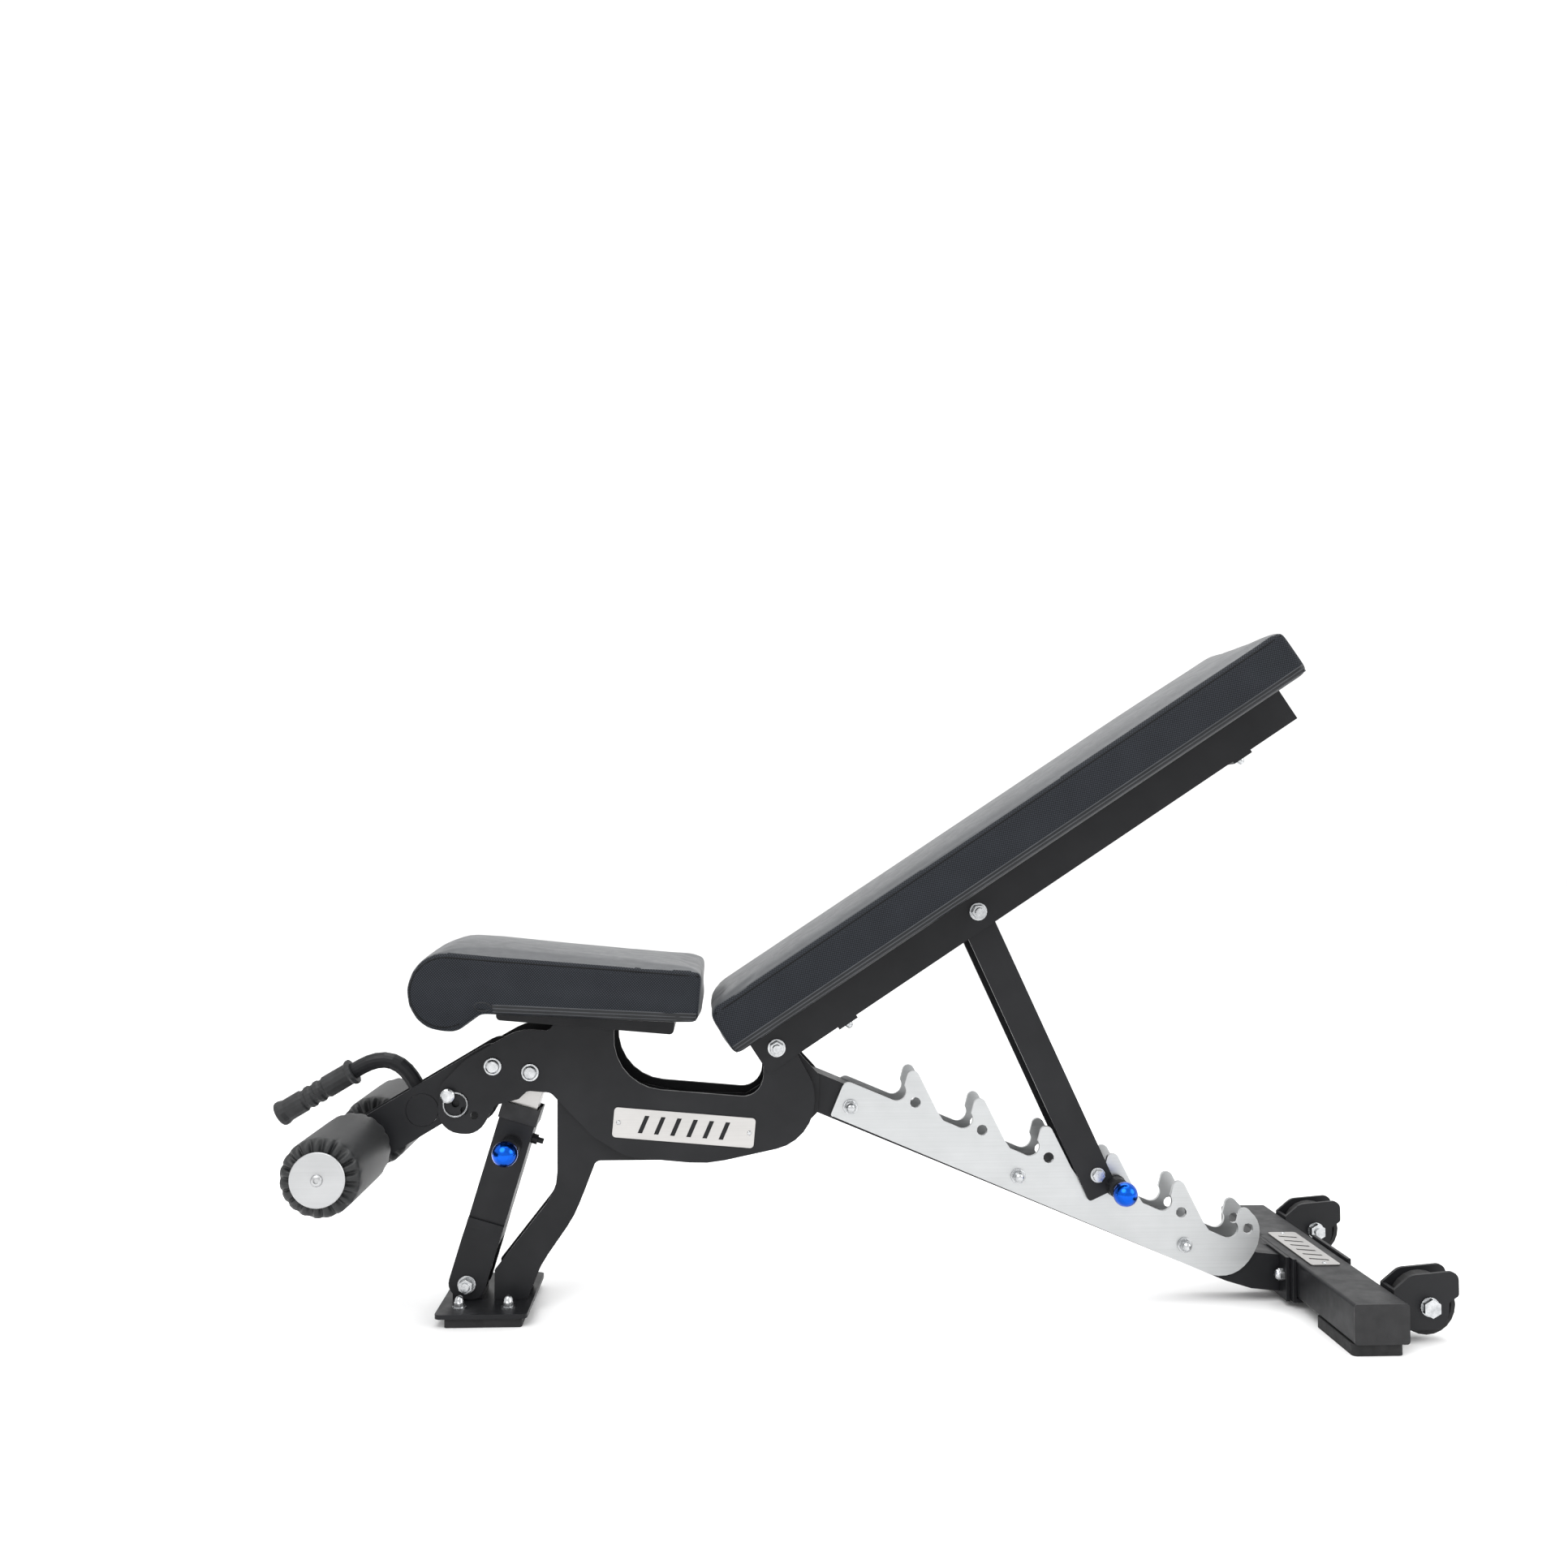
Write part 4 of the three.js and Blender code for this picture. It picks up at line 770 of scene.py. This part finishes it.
def roller_cover(side):
    """A fabric tube over foam, gathered at both ends towards the disc and the arm."""
    node = f"roller_{side}"
    axis = middle(node)
    low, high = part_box(node)
    half = (high[1] - low[1]) / 2
    drift = [random.uniform(-1, 1) for _ in range(ROLLER_FOLDS)]
    depths = [random.uniform(*FOLD_DEPTHS) for _ in range(ROLLER_FOLDS)]

    def gather(angle):
        """0 on a puff and 1 in a fold's crease."""
        place = angle / TAU * ROLLER_FOLDS
        fold = int(place) % ROLLER_FOLDS
        wave = 0.5 - 0.5 * math.cos(TAU * (place + FOLD_DRIFT * drift[fold] * math.sin(TAU * place)))
        return depths[fold] * wave**CREASE_POWER

    profile = []
    for step in range(BARREL_STEPS + 1):
        along = 2 * step / BARREL_STEPS - 1
        crease = SHOULDER_CREASE * (max(0, abs(along) - SHOULDER_FROM) / (1 - SHOULDER_FROM)) ** 2
        profile.append((ROLLER_RADIUS, along * (half - CUFF_LENGTH), crease))
    cuff = []
    for step in range(1, CUFF_STEPS + 1):
        t = step / CUFF_STEPS
        bend = math.radians(90 * t)
        radius = CUFF_RADIUS + (ROLLER_RADIUS - CUFF_RADIUS) * math.cos(bend) ** CUFF_ROUNDNESS
        crease = SHOULDER_CREASE + (1 - SHOULDER_CREASE) * math.sin(math.pi / 2 * min(1, CREASE_RISE * t)) ** 2
        cuff.append((radius, half - CUFF_LENGTH + CUFF_REACH * math.sin(bend), crease))
    outer = profile + cuff
    rings = [(r, -h, g) for r, h, g in reversed(cuff)] + outer
    form = bmesh.new()
    made = []
    for radius, height, depth in rings:
        ring = []
        for i in range(ROLLER_TURNS):
            angle = TAU * i / ROLLER_TURNS
            crease = depth * gather(angle)
            r = radius - CREASE_DEPTH * crease
            h = height - math.copysign(CREASE_PUSH * CREASE_DEPTH * crease, height)
            ring.append(form.verts.new(axis + Vector((r * math.cos(angle), h, r * math.sin(angle)))))
        made.append(ring)
    for lower, upper in zip(made, made[1:]):
        join_rings(form, lower, upper, ROLLER_TURNS)
    form.faces.new(made[0])
    form.faces.new(made[-1])
    bmesh.ops.recalc_face_normals(form, faces=form.faces)
    mesh = mesh_of(form, f"roller_cover_{side}")
    for face in mesh.polygons:
        face.use_smooth = len(face.vertices) < 5
    piece = add_piece(f"roller_cover_{side}", mesh, node, "roller_cover", FABRIC)
    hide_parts(node)


def roller_disc(side, sign):
    """The polished end disc with its centre screw."""
    node = f"roller_cap_{side}"
    low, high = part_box(node)
    inner = low[1] if sign > 0 else high[1]
    at = Vector((middle(node).x, inner, middle(node).z))
    profile = [(radius * MM, height * MM) for radius, height in DISC_PROFILE]
    mesh = turned_mesh(f"roller_disc_{side}", profile, frame_at(at, (0, sign, 0)), DISC_TURNS)
    piece = add_piece(f"roller_disc_{side}", mesh, "arm", "brushed_steel", DISC_STEEL)
    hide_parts(node)


# Knobs


def pull_knob(name, node, body, ball):
    """A blue ball on a black skirted neck, at the end of a spring plunger."""
    low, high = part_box(node)
    at = Vector((middle(node).x, low[1] + ball, middle(node).z))
    out = frame_at(at, (0, -1, 0))
    foot = -ball * BALL_FOOT
    round_part = arc((0, 0), ball, *BALL_ARC)[:-1]
    knob = [(0, foot), (ball * BALL_FOOT_RADIUS, foot)] + round_part + [(0, ball)]
    shown = add_piece(f"{name}_ball", turned_mesh(f"{name}_ball", knob, out), body, "blue_anodised", BLUE)
    neck_start = 2 * ball - (high[1] - low[1])
    top, edge, rim = SKIRT["top"], SKIRT["edge"], SKIRT["foot"]
    skirt = [(0, neck_start), (NECK_RADIUS, neck_start), (NECK_RADIUS, -ball - SKIRT["neck"])]
    skirt += [(top[0], -ball - top[1]), (edge[0], -ball - edge[1])]
    skirt += [(rim[0], -ball * rim[1]), (0, -ball * rim[1])]
    mesh = turned_mesh(f"{name}_neck", skirt, out)
    add_piece(f"{name}_neck", mesh, body, "plastic", PLASTIC)
    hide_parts(node)


# Small fasteners that only the looks need


def dome_nut(name, at, direction, body, radius=6.6 * MM, height=16 * MM):
    flange = radius * NUT_FLANGE["radius"]
    profile = [(0, 0), (flange, 0), (flange, NUT_FLANGE["height"]), (radius * NUT_DOME[0][0], NUT_BODY_FOOT)]
    profile += [(radius * r, height * h) for r, h in NUT_DOME] + [(0, height)]
    mesh = turned_mesh(name, profile, frame_at(at, direction), FASTENER_TURNS)
    add_piece(name, mesh, body, "zinc", ZINC)


def screw_head(name, at, direction, body, radius=3.2 * MM, height=1.6 * MM):
    rings = [(radius * r, height * h) for r, h in SCREW_HEAD]
    profile = [(0, 0)] + rings + [(0, rings[-1][1])]
    mesh = turned_mesh(name, profile, frame_at(at, direction), FASTENER_TURNS)
    add_piece(name, mesh, body, "zinc", ZINC)


def small_fasteners():
    low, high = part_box("foot_plate")
    front, rear = FOOT_NUT["insets"]
    for i, x in enumerate((low[0] + front, high[0] - rear)):
        for side, y in (("left", -FOOT_NUT["side"]), ("right", FOOT_NUT["side"])):
            dome_nut(f"foot_nut_{side}_{i + 1}", Vector((x, y, high[2])), (0, 0, 1), "frame")
    low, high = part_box("stabilizer_badge")
    for side, y in (("left", low[1] + REAR_BADGE_INSET), ("right", high[1] - REAR_BADGE_INSET)):
        at = Vector(((low[0] + high[0]) / 2, y, high[2]))
        screw_head(f"rear_badge_screw_{side}", at, (0, 0, 1), "frame")
    centre = middle("side_badge")
    along = Matrix.Rotation(SEAT_TURN, 3, "Y") @ Vector((1, 0, 0))
    for side, sign in (("front", -1), ("rear", 1)):
        at = centre + sign * SIDE_BADGE_SCREW * along
        at.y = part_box("side_badge")[0][1]
        screw_head(f"side_badge_screw_{side}", at, (0, -1, 0), "seat")
    plane = Matrix.Translation(MAIN_HINGE) @ Matrix.Rotation(BACK_TURN, 4, "Y")
    down = plane.to_3x3() @ Vector((0, 0, -1))
    for i, x in enumerate(PAD_BOLT["x"]):
        for side, y in (("left", -PAD_BOLT["side"]), ("right", PAD_BOLT["side"])):
            at = plane @ Vector((x, y, PAD_BOLT["under"]))
            dome_nut(f"pad_bolt_{side}_{i + 1}", at, down, "back", PAD_BOLT["radius"], PAD_BOLT["height"])


# Camera, floor and light


def studio():
    camera_data = bpy.data.cameras.new("camera")
    camera_data.sensor_width = SENSOR_WIDTH
    camera_data.lens = LENS
    camera_data.clip_end = CLIP_END
    camera = bpy.data.objects.new("camera", camera_data)
    camera.location = CAMERA_AT
    camera.rotation_euler = (math.pi / 2 + CAMERA_LIFT, 0, -CAMERA_YAW)
    bpy.context.scene.collection.objects.link(camera)
    bpy.context.scene.camera = camera

    half = STAGE_SIZE / 2
    corners = [(-half, -half), (half, -half), (half, half), (-half, half)]
    floor_mesh = mesh_from("floor", [(x, y, -STAGE_GAP) for x, y in corners], [(0, 1, 2, 3)])
    floor = bpy.data.objects.new("floor", floor_mesh)
    bpy.context.scene.collection.objects.link(floor)
    paint = Surface("floor_paint", (FLOOR_WHITE,) * 3, 0.8, Specular_IOR_Level=0.1)
    paint.roughness_from(paint.noise(3), 0.62, 0.78)
    floor_mesh.materials.append(paint.material)

    world = bpy.data.worlds.new("studio")
    world.use_nodes = True
    background = world.node_tree.nodes["Background"]
    background.inputs["Color"].default_value = (1.0, 1.0, 1.0, 1)
    background.inputs["Strength"].default_value = WORLD_STRENGTH
    bpy.context.scene.world = world
    for name, at, size, power in LIGHTS:
        soft_light(name, at, size, power)
    bpy.context.scene.view_settings.view_transform = "Standard"


def soft_light(name, at, size, power):
    data = bpy.data.lights.new(name, "AREA")
    data.shape = "DISK"
    data.size = size
    data.energy = power
    light = bpy.data.objects.new(name, data)
    light.location = at
    aim = LIGHT_AIM - Vector(at)
    light.rotation_euler = aim.to_track_quat("-Z", "Y").to_euler()
    bpy.context.scene.collection.objects.link(light)


studio()
finish_cad_nodes()
seat_pad()
back_pad()
for side, sign in (("left", -1), ("right", 1)):
    roller_cover(side)
    roller_disc(side, sign)
pull_knob("post_knob", "post_pin", "post_latch", POST_BALL)
pull_knob("lock_knob", "lock_pin", "strut_latch", LOCK_BALL)
small_fasteners()

bpy.context.view_layer.update()
